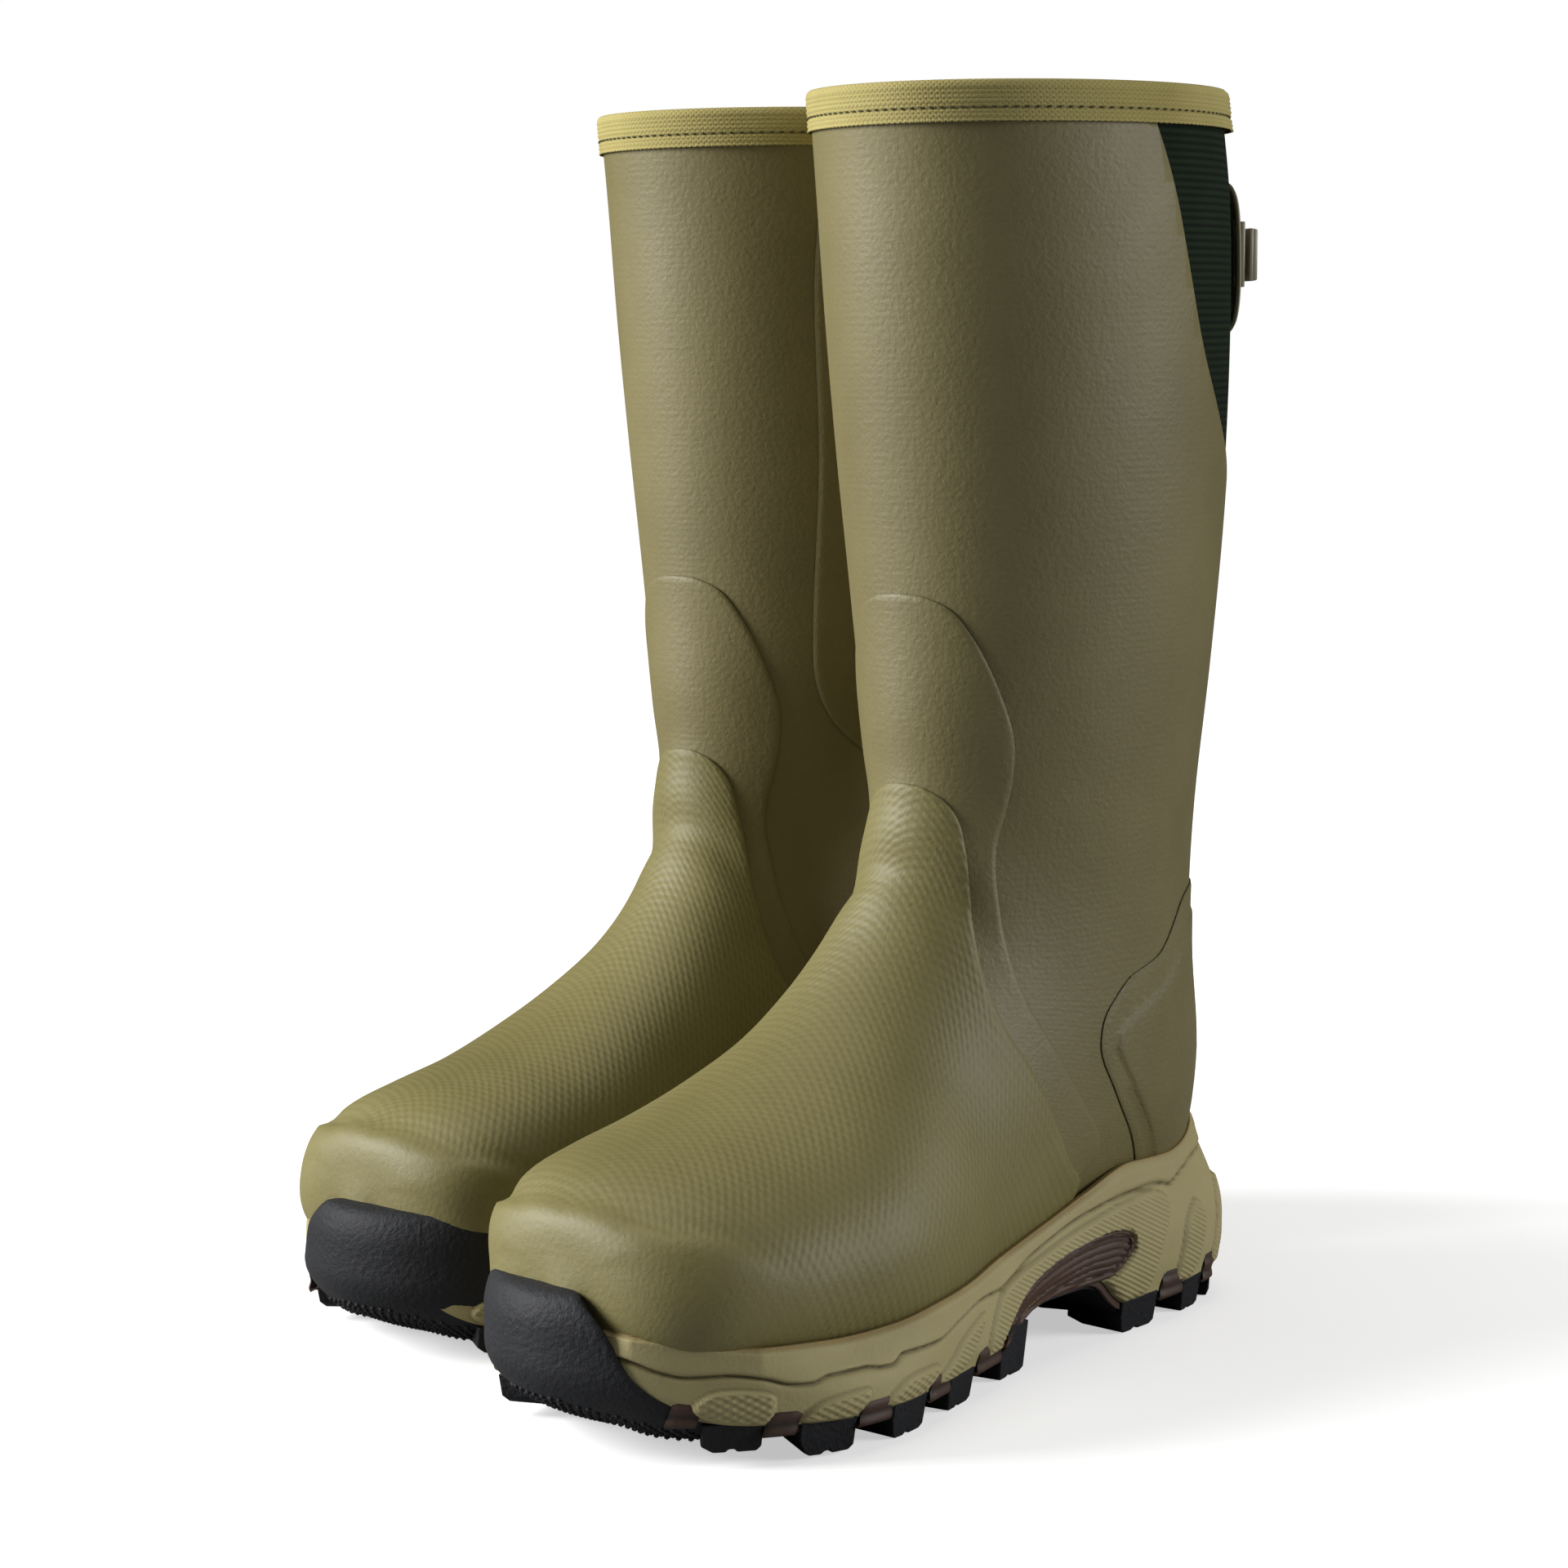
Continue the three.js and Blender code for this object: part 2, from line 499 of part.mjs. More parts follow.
// All pieces of a left boot: name, solid, finish.
function bootPieces() {
  const frame = buckleFrame();
  const band = (rows, a, b, across) => panel(rows, edgeOf(a), edgeOf(b), -3, 7, across);
  const wall = body(0).subtract(body(-SHELL_T)).intersect(below(RIM));
  const low1 = CLEAR;
  const low2 = 2 * CLEAR + OVERLAY_T;
  const onMidsole = above(29.2);
  const toeTip = box(-70, 70, -360, -311, 30, 100);
  const vampRegion = band(VAMP_ROWS, VAMP_OUTER, VAMP_INNER, 10).add(toeTip);
  const liner = body(-LINER_OUT).subtract(body(-LINER_IN, GRID_INSIDE, 16)).intersect(below(RIM));
  const towardsToe = (t) => slab(t, -500, -CLEAR / 2);
  const towardsRim = (t) => slab(t, CLEAR / 2, 500);
  const tab = (deg, high, wide, d) => layer(d, d + 2.6, ovalRegion(frame.t, deg, high, wide));
  return [
    ['vamp_shell', wall.intersect(towardsToe(VAMP_SPLIT)), 'shell_rubber'],
    ['ankle_shell', wall.intersect(towardsRim(VAMP_SPLIT)).intersect(towardsToe(SPLIT)), 'shell_rubber'],
    ['shaft_shell', wall.intersect(towardsRim(SPLIT)).subtract(gussetRegion(0.5)), 'shell_rubber'],
    ['liner', liner, 'liner_foam'],
    ['footbed', makeFootbed(), 'footbed_foam'],
    ['shin_overlay', layer(low1, low1 + OVERLAY_T, band(SHIN_ROWS, SHIN_OUTER, SHIN_INNER, 6)), 'overlay_rubber'],
    ['vamp_overlay', layer(low2, low2 + OVERLAY_T, vampRegion).intersect(onMidsole), 'vamp_rubber'],
    ['heel_overlay', layer(low1, low1 + 1.4, band([10.7, 11.2, 11.8, 12.4, 13, 13.6], HEEL_OUTER, HEEL_INNER, 8))
      .intersect(onMidsole), 'overlay_rubber'],
    ['rub_guard', layer(low1, low1 + 1.2, band(steps(13.4, 18.2, 5), GUARD_FRONT, GUARD_REAR, 3)), 'overlay_rubber'],
    ['gusset', layer(-2.2, -0.7, gussetRegion(0)).intersect(below(RIM)), 'gusset_knit'],
    ['rim_binding', makeBinding(), 'binding_tape'],
    ['outer_tab', tab(BUCKLE_ANGLE, 0.55, 17, 1.2), 'tab_rubber'],
    ['inner_tab', tab(-156, 0.4, 12, low1 + 1.2 + CLEAR), 'tab_rubber'],
    ['strap', makeStrap(frame), 'strap_webbing'],
    ['buckle_frame', place(makeBuckle(), frame.m), 'buckle_plastic'],
    ['buckle_lever', place(makeLever(), frame.m), 'buckle_plastic'],
    ['midsole', makeMidsole(), 'midsole_foam'],
    ['arch_shank', shankForm(0), 'brown_rubber'],
    ['toe_bumper', makeBumper(), 'black_rubber'],
    ['tread_base', makeTreadBase(), 'brown_rubber'],
    ['outsole', makeOutsole(), 'black_rubber'],
  ];
}

// Mesh of one piece, set down on its side of the pair.
function boot(side, pieces) {
  const turn = new THREE.Matrix4().makeRotationZ(rad(TOE_OUT) * side);
  const move = new THREE.Matrix4().makeTranslation(SPACING * side, -LENGTH_CENTRE - SETBACK * side, 0);
  const mirror = new THREE.Matrix4().makeScale(side, 1, 1);
  const matrix = move.multiply(turn).multiply(mirror);
  return pieces.map(([name, form, finish]) => {
    const [color, roughness] = FINISHES[finish];
    const g = geometryOf(form, KEEP_FACETS.includes(name) ? 0 : FACET_TOLERANCE);
    g.applyMatrix4(matrix);
    if (side < 0) {
      const index = g.index.array;
      for (let i = 0; i < index.length; i += 3) [index[i], index[i + 1]] = [index[i + 1], index[i]];
    }
    const flat = g.toNonIndexed();
    flat.computeVertexNormals();
    const mesh = new THREE.Mesh(flat, new THREE.MeshStandardMaterial({ color, roughness, metalness: 0 }));
    mesh.name = `${side > 0 ? 'left' : 'right'}_${name}`;
    mesh.material.name = finish;
    return mesh;
  });
}

const group = new THREE.Group();
group.name = 'insulated_hunting_boots';
const pieces = bootPieces();
for (const side of [1, -1]) group.add(...boot(side, pieces));

export default group;
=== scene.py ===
"""Pair of insulated rubber hunting boots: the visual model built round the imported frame.

Everything is worked out on one left boot in millimetres, toes towards -Y, and each finished
mesh is then set down twice: as it is on the left, and mirrored on the right.
"""
import logging
import math
from dataclasses import dataclass, field
from enum import Enum
from typing import Callable, Optional, Sequence

import bmesh
import bpy
import numpy as np
from bmesh.types import BMesh
from mathutils import Matrix, Vector
from mathutils.bvhtree import BVHTree


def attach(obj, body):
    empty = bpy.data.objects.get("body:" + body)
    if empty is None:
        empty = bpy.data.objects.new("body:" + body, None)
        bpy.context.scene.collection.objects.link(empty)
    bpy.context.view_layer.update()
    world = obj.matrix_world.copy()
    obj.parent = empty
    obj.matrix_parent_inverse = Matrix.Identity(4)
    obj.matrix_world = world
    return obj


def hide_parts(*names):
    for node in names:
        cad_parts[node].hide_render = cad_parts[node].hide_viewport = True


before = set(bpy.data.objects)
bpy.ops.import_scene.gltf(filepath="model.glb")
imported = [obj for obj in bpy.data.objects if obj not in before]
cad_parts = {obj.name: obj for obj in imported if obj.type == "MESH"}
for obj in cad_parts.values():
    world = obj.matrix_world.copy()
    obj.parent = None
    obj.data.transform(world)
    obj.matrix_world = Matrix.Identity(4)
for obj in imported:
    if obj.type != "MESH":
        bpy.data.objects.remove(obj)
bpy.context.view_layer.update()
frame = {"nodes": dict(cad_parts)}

LOG = logging.getLogger("boots")
MM = 0.001
UV_MM = 100.0                # one unit of every UV map is this many millimetres
Point = tuple[float, float]
Array = np.ndarray

# Stations from the toe tip to the rim: front line (y, z), rear line (y, z), half width,
# sideways centre, height of the widest line, roundness above and below it, lean of the crest.
STATIONS = (
    (-324, 60, -324, 50, 8, -4, 0.50, 2.0, 2.0, -1),
    (-322, 72, -323, 38, 27, -4, 0.46, 2.1, 2.3, -3),
    (-315, 79, -319, 33, 40, -4, 0.42, 2.2, 2.6, -6),
    (-301, 85, -308, 31, 49, -3, 0.40, 2.3, 3.0, -9),
    (-282, 89, -288, 30, 55, -2, 0.38, 2.3, 3.2, -10),
    (-257, 95, -262, 29, 58.5, -1, 0.36, 2.2, 3.3, -10),
    (-235, 104, -234, 28, 58.5, 1, 0.35, 2.1, 3.3, -10),
    (-213, 117, -203, 28, 54, 1, 0.35, 2.0, 3.2, -8),
    (-195, 132, -168, 30, 47.5, -1, 0.36, 2.0, 3.0, -6),
    (-181, 149, -127, 32, 44, -1.5, 0.38, 2.0, 2.8, -4),
    (-173, 166, -80, 35, 42.5, -1, 0.42, 2.0, 2.6, -2),
    (-169, 183, -38, 42, 42.5, -0.5, 0.46, 2.0, 2.4, 0),
    (-168, 200, -22, 75, 43, 0, 0.50, 2.0, 2.2, 0),
    (-170, 219, -27, 120, 45.5, 0, 0.50, 2.0, 2.1, 0),
    (-171, 242, -27, 170, 50, 0, 0.50, 2.0, 2.0, 0),
    (-173, 270, -22, 227, 55, 0, 0.50, 2.0, 2.0, 0),
    (-177, 309, -18, 282, 59.5, 0, 0.50, 2.0, 2.0, 0),
    (-182, 353, -16, 337, 62, 0, 0.50, 2.0, 2.0, 0),
    (-186, 397, -18, 388, 63.5, 0, 0.50, 2.0, 2.0, 0),
    (-190, 426, -24, 430, 62.5, 0, 0.50, 2.0, 2.0, 0),
)
RIM_STATION = 19.0
TIP = (-4.0, -325.5, 49.0)   # where the closing cap at the toe comes to a point
CAP_END = -0.98              # station just short of that point
UP = Vector((0, 0, 1))
BEVEL = {"affect": "EDGES", "profile": 0.5, "material": -1}


# ---- small tools --------------------------------------------------------------------------
def smooth_step(low: float, high: float, value: Array) -> Array:
    """Eased ramp from 0 to 1.

    Args:
        low: Value where the ramp starts.
        high: Value where it ends; it may be below low.
        value: Where to read it.

    Returns:
        The ramp's height at each value.
    """
    f = np.clip((np.asarray(value, float) - low) / (high - low), 0.0, 1.0)
    return f * f * (3.0 - 2.0 * f)


def table(points: Sequence[Point], key: Array) -> Array:
    """Reads a table of (key, value) pairs with a smooth curve that never overshoots.

    Args:
        points: Pairs in rising order of key.
        key: Where to read.

    Returns:
        The value at each key.
    """
    keys, values = np.array(points, float).T
    slope = np.diff(values) / np.diff(keys)
    tangent = np.concatenate([[slope[0]], (slope[1:] + slope[:-1]) / 2, [slope[-1]]])
    flat = np.concatenate([[False], slope[1:] * slope[:-1] <= 0, [False]])
    tangent[flat] = 0.0
    k = np.clip(np.asarray(key, float), keys[0], keys[-1])
    i = np.clip(np.searchsorted(keys, k, side="right") - 1, 0, len(keys) - 2)
    h = keys[i + 1] - keys[i]
    f = (k - keys[i]) / h
    return (values[i] * (1 + 2 * f) * (1 - f) ** 2 + values[i + 1] * f * f * (3 - 2 * f)
            + h * (tangent[i] * f * (1 - f) ** 2 - tangent[i + 1] * f * f * (1 - f)))


def curve(points: Sequence[Point], per: int = 6, closed: bool = False) -> Array:
    """Smooth curve through points in a plane (centripetal Catmull-Rom).

    Args:
        points: Points that it passes through.
        per: Steps between two of them.
        closed: Whether it comes back to the first.

    Returns:
        The curve's points, one row each.
    """
    p = np.array(points, float)
    ends = (p[-1:], p[:2]) if closed else (2 * p[:1] - p[1:2], 2 * p[-1:] - p[-2:-1])
    q = np.concatenate([ends[0], p, ends[1]])
    out = []
    for i in range(1, len(q) - 2):
        gaps = np.linalg.norm(np.diff(q[i - 1:i + 3], axis=0), axis=1)
        knots = np.concatenate([[0], np.cumsum(gaps ** 0.5)])
        t0, t1, t2, t3 = knots + np.arange(4) * 1e-9
        t = np.linspace(t1, t2, per, endpoint=False)[:, None]
        a1 = ((t1 - t) * q[i - 1] + (t - t0) * q[i]) / (t1 - t0)
        a2 = ((t2 - t) * q[i] + (t - t1) * q[i + 1]) / (t2 - t1)
        a3 = ((t3 - t) * q[i + 1] + (t - t2) * q[i + 2]) / (t3 - t2)
        b1 = ((t2 - t) * a1 + (t - t0) * a2) / (t2 - t0)
        b2 = ((t3 - t) * a2 + (t - t1) * a3) / (t3 - t1)
        out.append(((t2 - t) * b1 + (t - t1) * b2) / (t2 - t1))
    return np.concatenate(out if closed else [*out, p[-1:]])


def distance_inside(points: Array, outline: Array) -> Array:
    """Distance of points from a closed outline, positive inside it.

    Args:
        points: Points in the plane, one row each.
        outline: Corners of the outline, one row each.

    Returns:
        Signed distance of each point.
    """
    best = np.full(len(points), 1e9)
    inside = np.zeros(len(points), bool)
    for a, b in zip(outline, np.roll(outline, -1, axis=0)):
        edge, rel = b - a, points - a
        f = np.clip(rel @ edge / max(edge @ edge, 1e-9), 0, 1)
        best = np.minimum(best, np.linalg.norm(rel - f[:, None] * edge, axis=1))
        crosses = (a[1] > points[:, 1]) != (b[1] > points[:, 1])
        with np.errstate(divide="ignore", invalid="ignore"):
            at = a[0] + (points[:, 1] - a[1]) / (b[1] - a[1]) * (b[0] - a[0])
        inside ^= crosses & (points[:, 0] < at)
    return np.where(inside, best, -best)


def spots(bm: BMesh) -> Array:
    """Positions of all vertices, one row each."""
    return np.array([v.co[:] for v in bm.verts])


def move_to(bm: BMesh, places: Array) -> None:
    """Moves every vertex to its new place.

    Args:
        bm: Mesh to change.
        places: One row for each vertex, in order.
    """
    for vertex, place in zip(bm.verts, places):
        vertex.co = place


def lengths_along(path: Array) -> Array:
    """Length walked from the first point of a path to each of its points."""
    return np.concatenate([[0], np.cumsum(np.linalg.norm(np.diff(path, axis=0), axis=1))])


def write_uv(bm: BMesh, uv: Array) -> None:
    """Writes a UV map, in millimetres, from one pair for each vertex.

    Args:
        bm: Mesh to change.
        uv: Two columns, in the order of the vertices.
    """
    layer = bm.loops.layers.uv.verify()
    bm.verts.index_update()
    for face in bm.faces:
        for loop in face.loops:
            loop[layer].uv = uv[loop.vert.index] / UV_MM


def write_mask(bm: BMesh, name: str, values: Array) -> None:
    """Writes a number for each vertex, which a finish reads by name.

    Args:
        bm: Mesh to change.
        name: Name of the attribute.
        values: One number for each vertex.
    """
    layer = bm.verts.layers.float.get(name) or bm.verts.layers.float.new(name)
    for vertex, value in zip(bm.verts, values):
        vertex[layer] = float(value)


def grid(columns: int, rows: int) -> tuple[BMesh, Array, Array]:
    """Flat grid to be bent into shape.

    Args:
        columns: Cells across.
        rows: Cells up.

    Returns:
        The mesh, and each vertex's place across and up, from 0 to 1.
    """
    bm = bmesh.new()
    bmesh.ops.create_grid(bm, x_segments=columns, y_segments=rows, size=0.5)
    at = spots(bm) + 0.5
    return bm, at[:, 0], at[:, 1]


def face_out(bm: BMesh, outward: Callable[[Array], Array]) -> None:
    """Turns an open sheet over if most of it faces the wrong way.

    Args:
        bm: Sheet.
        outward: Gives the outward direction at each face's middle.
    """
    bm.normal_update()
    middles = np.array([f.calc_center_median()[:] for f in bm.faces])
    normals = np.array([f.normal[:] for f in bm.faces])
    if np.sum(normals * outward(middles)) < 0:
        bmesh.ops.reverse_faces(bm, faces=bm.faces[:])


def thicken(bm: BMesh, amount: float) -> None:
    """Gives an open sheet a wall behind its face.

    Args:
        bm: Sheet whose faces look outwards.
        amount: Thickness of the wall.
    """
    bm.normal_update()
    inwards = {tuple(v.co): v.normal * -amount for v in bm.verts}
    made = bmesh.ops.extrude_face_region(bm, geom=bm.faces[:], use_keep_orig=True)
    for vertex in (g for g in made["geom"] if isinstance(g, bmesh.types.BMVert)):
        vertex.co += inwards[tuple(vertex.co)]
    bmesh.ops.recalc_face_normals(bm, faces=bm.faces[:])


@dataclass(frozen=True)
class EdgeRing:
    """One ring inside the border of a layer: how far in, how high, and how much shade is painted
    in its crease.
    """

    width: float
    height: float
    crease: float = 0.0


def cut_net(outline: Array, rings: Sequence[EdgeRing], cell: Point) -> tuple[BMesh, Array]:
    """Flat layer with a stepped border, sliced both ways to a net fine enough to be bent.

    Args:
        outline: Corners of the layer in the plane, one row each.
        rings: Rings of its border, from the edge inwards.
        cell: Distance between the slices each way.

    Returns:
        The mesh, which carries each ring's painted crease shade, and the height of every vertex.
    """
    bm = bmesh.new()
    rise = bm.verts.layers.float.new("rise")
    crease = bm.verts.layers.float.new("crease")
    face = bm.faces.new([bm.verts.new((x, y, 0)) for x, y in outline])
    for ring in rings:
        if ring.width:
            bmesh.ops.inset_region(bm, faces=[face], thickness=ring.width,
                                   use_boundary=True, use_even_offset=True)
        for vertex in face.verts:
            vertex[rise], vertex[crease] = ring.height, ring.crease
    low, high = outline.min(axis=0), outline.max(axis=0)
    for axis, step in enumerate(cell):
        count = int((high[axis] - low[axis]) / step)
        for k in range(1, count + 1):
            place, way = [0.0, 0.0, 0.0], [0.0, 0.0, 0.0]
            place[axis] = low[axis] + (high[axis] - low[axis]) * k / (count + 1)
            way[axis] = 1.0
            bmesh.ops.bisect_plane(bm, geom=bm.verts[:] + bm.edges[:] + bm.faces[:],
                                   dist=1e-4, plane_co=place, plane_no=way)
    bmesh.ops.triangulate(bm, faces=[f for f in bm.faces if len(f.verts) > 4])
    return bm, np.array([v[rise] for v in bm.verts])


def append(target: BMesh, part: BMesh) -> None:
    """Adds one mesh to another and frees it.

    Args:
        target: Mesh that grows.
        part: Mesh that is used up.
    """
    carrier = bpy.data.meshes.new("carrier")
    part.to_mesh(carrier)
    part.free()
    target.from_mesh(carrier)
    bpy.data.meshes.remove(carrier)


# ---- form of the upper --------------------------------------------------------------------
@dataclass
class BootForm:
    """The upper's outer surface, read by station (toe to rim) and angle round the section.

    The angle is 0 on the outer side, 90 at the front, 180 on the inner side and -90 behind.
    """

    stations: tuple[tuple[float, ...], ...] = STATIONS
    cap_radius: float = 8.0      # chart length of the closing cap at the toe tip
    around_scale: float = 1.03   # chart millimetres for each degree
    fine_steps: int = 380        # steps of the chart's own length
    cloth_rows: int = 190        # steps along the surface in the tables of true lengths
    cloth_columns: int = 200     # steps round it
    cloth_from: float = -240.0   # degrees where those tables start
    cloth_step: float = 3.0      # degrees between two of their columns
    rows: Array = field(init=False)
    fine: Array = field(init=False)
    lengths: Array = field(init=False)
    u_table: Array = field(init=False)
    v_table: Array = field(init=False)

    def __post_init__(self) -> None:
        """Pads the stations for the curve through them and measures the chart."""
        p = np.array(self.stations, float)
        self.rows = np.concatenate([2 * p[:1] - p[1:2], p, 2 * p[-1:] - p[-2:-1]])
        self.fine = np.linspace(0, RIM_STATION, self.fine_steps + 1)
        sides = [self.surface(self.fine, np.full(len(self.fine), float(a))) for a in (90, 20)]
        steps = [np.linalg.norm(np.diff(s, axis=0), axis=1) for s in sides]
        self.lengths = np.concatenate([[0], np.cumsum(np.mean(steps, axis=0))])
        t_axis = np.linspace(0, RIM_STATION, self.cloth_rows + 1)
        a_axis = self.cloth_from + self.cloth_step * np.arange(self.cloth_columns + 1)
        t, a = np.meshgrid(t_axis, a_axis, indexing="ij")
        points = self.surface(t.ravel(), a.ravel()).reshape(*t.shape, 3)
        across = np.linalg.norm(np.diff(points, axis=1), axis=2)
        along = np.linalg.norm(np.diff(points, axis=0), axis=2)
        front = int((90 - self.cloth_from) / self.cloth_step)
        self.u_table = np.concatenate([np.zeros((len(t), 1)), np.cumsum(across, axis=1)], axis=1)
        self.u_table -= self.u_table[:, [front]]
        self.v_table = np.concatenate([np.zeros((1, len(a_axis))), np.cumsum(along, axis=0)])

    def section(self, t: Array) -> Array:
        """Station numbers between the listed stations, on a curve through them.

        Args:
            t: Stations.

        Returns:
            One row of the table's numbers for each station.
        """
        s = np.clip(t, 0, RIM_STATION)
        i = np.minimum(s.astype(int), len(self.stations) - 2)
        f = (s - i)[:, None]
        p0, p1, p2, p3 = (self.rows[i + k] for k in range(4))
        return 0.5 * (2 * p1 + (p2 - p0) * f + (2 * p0 - 5 * p1 + 4 * p2 - p3) * f * f
                      + (3 * p1 - p0 - 3 * p2 + p3) * f ** 3)

    def surface(self, t: Array, deg: Array) -> Array:
        """Points of the outer surface; stations from -1 to 0 close the toe tip.

        Args:
            t: Stations.
            deg: Angles round the section, in degrees.

        Returns:
            One row for each point, in millimetres.
        """
        t, deg = np.asarray(t, float), np.asarray(deg, float)
        dy, dz, py, pz, w, c, m, above, below, lean = self.section(t).T
        co, si = np.cos(np.radians(deg)), np.sin(np.radians(deg))
        n = np.where(si >= 0, above, below)
        up = np.sign(si) * np.abs(si) ** (2 / n)
        x = c + w * np.sign(co) * np.abs(co) ** (2 / n) + lean * np.maximum(up, 0) ** 1.5
        q = np.where(up >= 0, m + (1 - m) * up, m + m * up)
        out = np.stack([x, py + (dy - py) * q, pz + (dz - pz) * q], axis=1)
        shrink = np.clip(1 + np.minimum(t, 0), 0, 1)[:, None]
        tip = np.array(TIP)
        return np.where(t[:, None] < 0, tip + (out - tip) * shrink, out)

    def normal(self, t: Array, deg: Array) -> Array:
        """Outward directions of the surface.

        Args:
            t: Stations.
            deg: Angles round the section, in degrees.

        Returns:
            One unit direction for each point.
        """
        safe = np.maximum(t, -0.9)
        low = np.maximum(t - 0.05, CAP_END)
        high = np.minimum(safe + 0.05, RIM_STATION)
        along = self.surface(high, deg) - self.surface(low, deg)
        across = self.surface(safe, deg + 1.5) - self.surface(safe, deg - 1.5)
        n = np.cross(along, across)
        return n / np.maximum(np.linalg.norm(n, axis=1, keepdims=True), 1e-9)

    def at(self, t: Array, deg: Array, distance: Array) -> Array:
        """Points at a distance outside (+) or inside (-) the surface."""
        return self.surface(t, deg) + self.normal(t, deg) * np.reshape(distance, (-1, 1))

    def to_chart(self, t: Array, deg: Array) -> Array:
        """Flat chart place of stations and angles, close to true size in millimetres."""
        y = np.where(t < 0, t * self.cap_radius, np.interp(t, self.fine, self.lengths))
        return np.stack([np.asarray(deg) * self.around_scale, y], axis=1)

    def from_chart(self, places: Array) -> tuple[Array, Array]:
        """Stations and angles of places in the flat chart.

        Args:
            places: Places in the chart, one row each.

        Returns:
            The stations, and the angles in degrees.
        """
        t = np.where(places[:, 1] < 0, places[:, 1] / self.cap_radius,
                     np.interp(places[:, 1], self.lengths, self.fine))
        return t, places[:, 0] / self.around_scale

    def cloth_uv(self, t: Array, deg: Array, from_rim: bool) -> Array:
        """True lengths round and along the surface, for patterns that follow it.

        Args:
            t: Stations.
            deg: Angles.
            from_rim: Whether rows are level at the rim, or else at the toe.

        Returns:
            Two columns in millimetres.
        """
        r = np.clip(t, 0, RIM_STATION) / RIM_STATION * self.cloth_rows
        c = np.clip((deg - self.cloth_from) / self.cloth_step, 0, self.cloth_columns - 0.001)
        i, j = np.minimum(r.astype(int), self.cloth_rows - 1), c.astype(int)
        f, g = r - i, c - j

        def read(grid_values: Array) -> Array:
            """Values between the four nearest entries of a table."""
            low = grid_values[i, j] * (1 - g) + grid_values[i, j + 1] * g
            high = grid_values[i + 1, j] * (1 - g) + grid_values[i + 1, j + 1] * g
            return low * (1 - f) + high * f

        v = read(self.v_table - self.v_table[-1:]) if from_rim else read(self.v_table)
        return np.stack([read(self.u_table), v], axis=1)


@dataclass
class SurfacePatch:
    """A layer that lies on the upper, cut to an outline drawn in stations and degrees."""

    form: BootForm
    outline: Sequence[Point]
    rings: Sequence[EdgeRing]
    base: float = 0.0
    cell: Point = (4.0, 4.0)
    from_rim: bool = True
    smooth: bool = True
    extra: Optional[Callable[[Array, Array], Array]] = None
    masks: Optional[dict[str, Callable[[Array, Array], Array]]] = None

    def build(self) -> BMesh:
        """Cuts the layer out flat and lays it on the upper.

        Returns:
            The layer's outer face as an open sheet.
        """
        t, deg = np.array(self.outline, float).T
        corners = self.form.to_chart(t, deg)
        if self.smooth:
            corners = curve(corners, per=5, closed=True)
        bm, rise = cut_net(corners, self.rings, self.cell)
        t, deg = self.form.from_chart(spots(bm))
        rise = rise + self.base
        if self.extra:
            rise = rise + self.extra(t, deg)
        for name, read in (self.masks or {}).items():
            write_mask(bm, name, read(t, deg))
        write_uv(bm, self.form.cloth_uv(t, deg, self.from_rim))
        move_to(bm, self.form.at(t, deg, rise))
        bmesh.ops.remove_doubles(bm, verts=bm.verts[:], dist=0.02)
        self.turn_out(bm)
        return bm

    def turn_out(self, bm: BMesh) -> None:
        """Makes the layer face away from the line through the boot's middle.

        Args:
            bm: The layer.
        """
        t = np.linspace(2, RIM_STATION, 60)
        spine = (self.form.surface(t, np.zeros(60)) + self.form.surface(t, np.full(60, 180.0))) / 2
        spine[:, 0] = 0.0

        def outward(middles: Array) -> Array:
            """Directions away from the nearest point of that line."""
            gaps = np.linalg.norm(middles[:, None] - spine[None], axis=2)
            return middles - spine[gaps.argmin(axis=1)]

        face_out(bm, outward)


# ---- setting down -------------------------------------------------------------------------
class Side(Enum):
    """Which boot of the pair."""

    LEFT = 1
    RIGHT = -1

    @property
    def prefix(self) -> str:
        """Start of the names of this boot's pieces and bodies."""
        return "left_" if self is Side.LEFT else "right_"

    @property
    def matrix(self) -> Matrix:
        """From the left boot in millimetres to this boot's place in metres."""
        s = self.value
        return (Matrix.Translation((0.0635 * s, 0.172 - 0.017 * s, 0))
                @ Matrix.Rotation(math.radians(1.75) * s, 4, "Z")
                @ Matrix.Diagonal((MM * s, MM, MM, 1)))


class Body(Enum):
    """Which moving body of a boot a piece rides on."""

    BOOT = "boot"
    LEVER = "lever"


@dataclass(frozen=True)
class PieceSpec:
    """What one piece is called, made of and stands for."""

    name: str
    finish: "Finish"
    slot: str
    nodes: tuple[str, ...]
    body: Body = Body.BOOT
    wall: float = 0.0            # wall thickness given inwards, in millimetres
    sharp: float = 50.0          # edges sharper than this angle stay crisp
    foam: Optional[float] = None


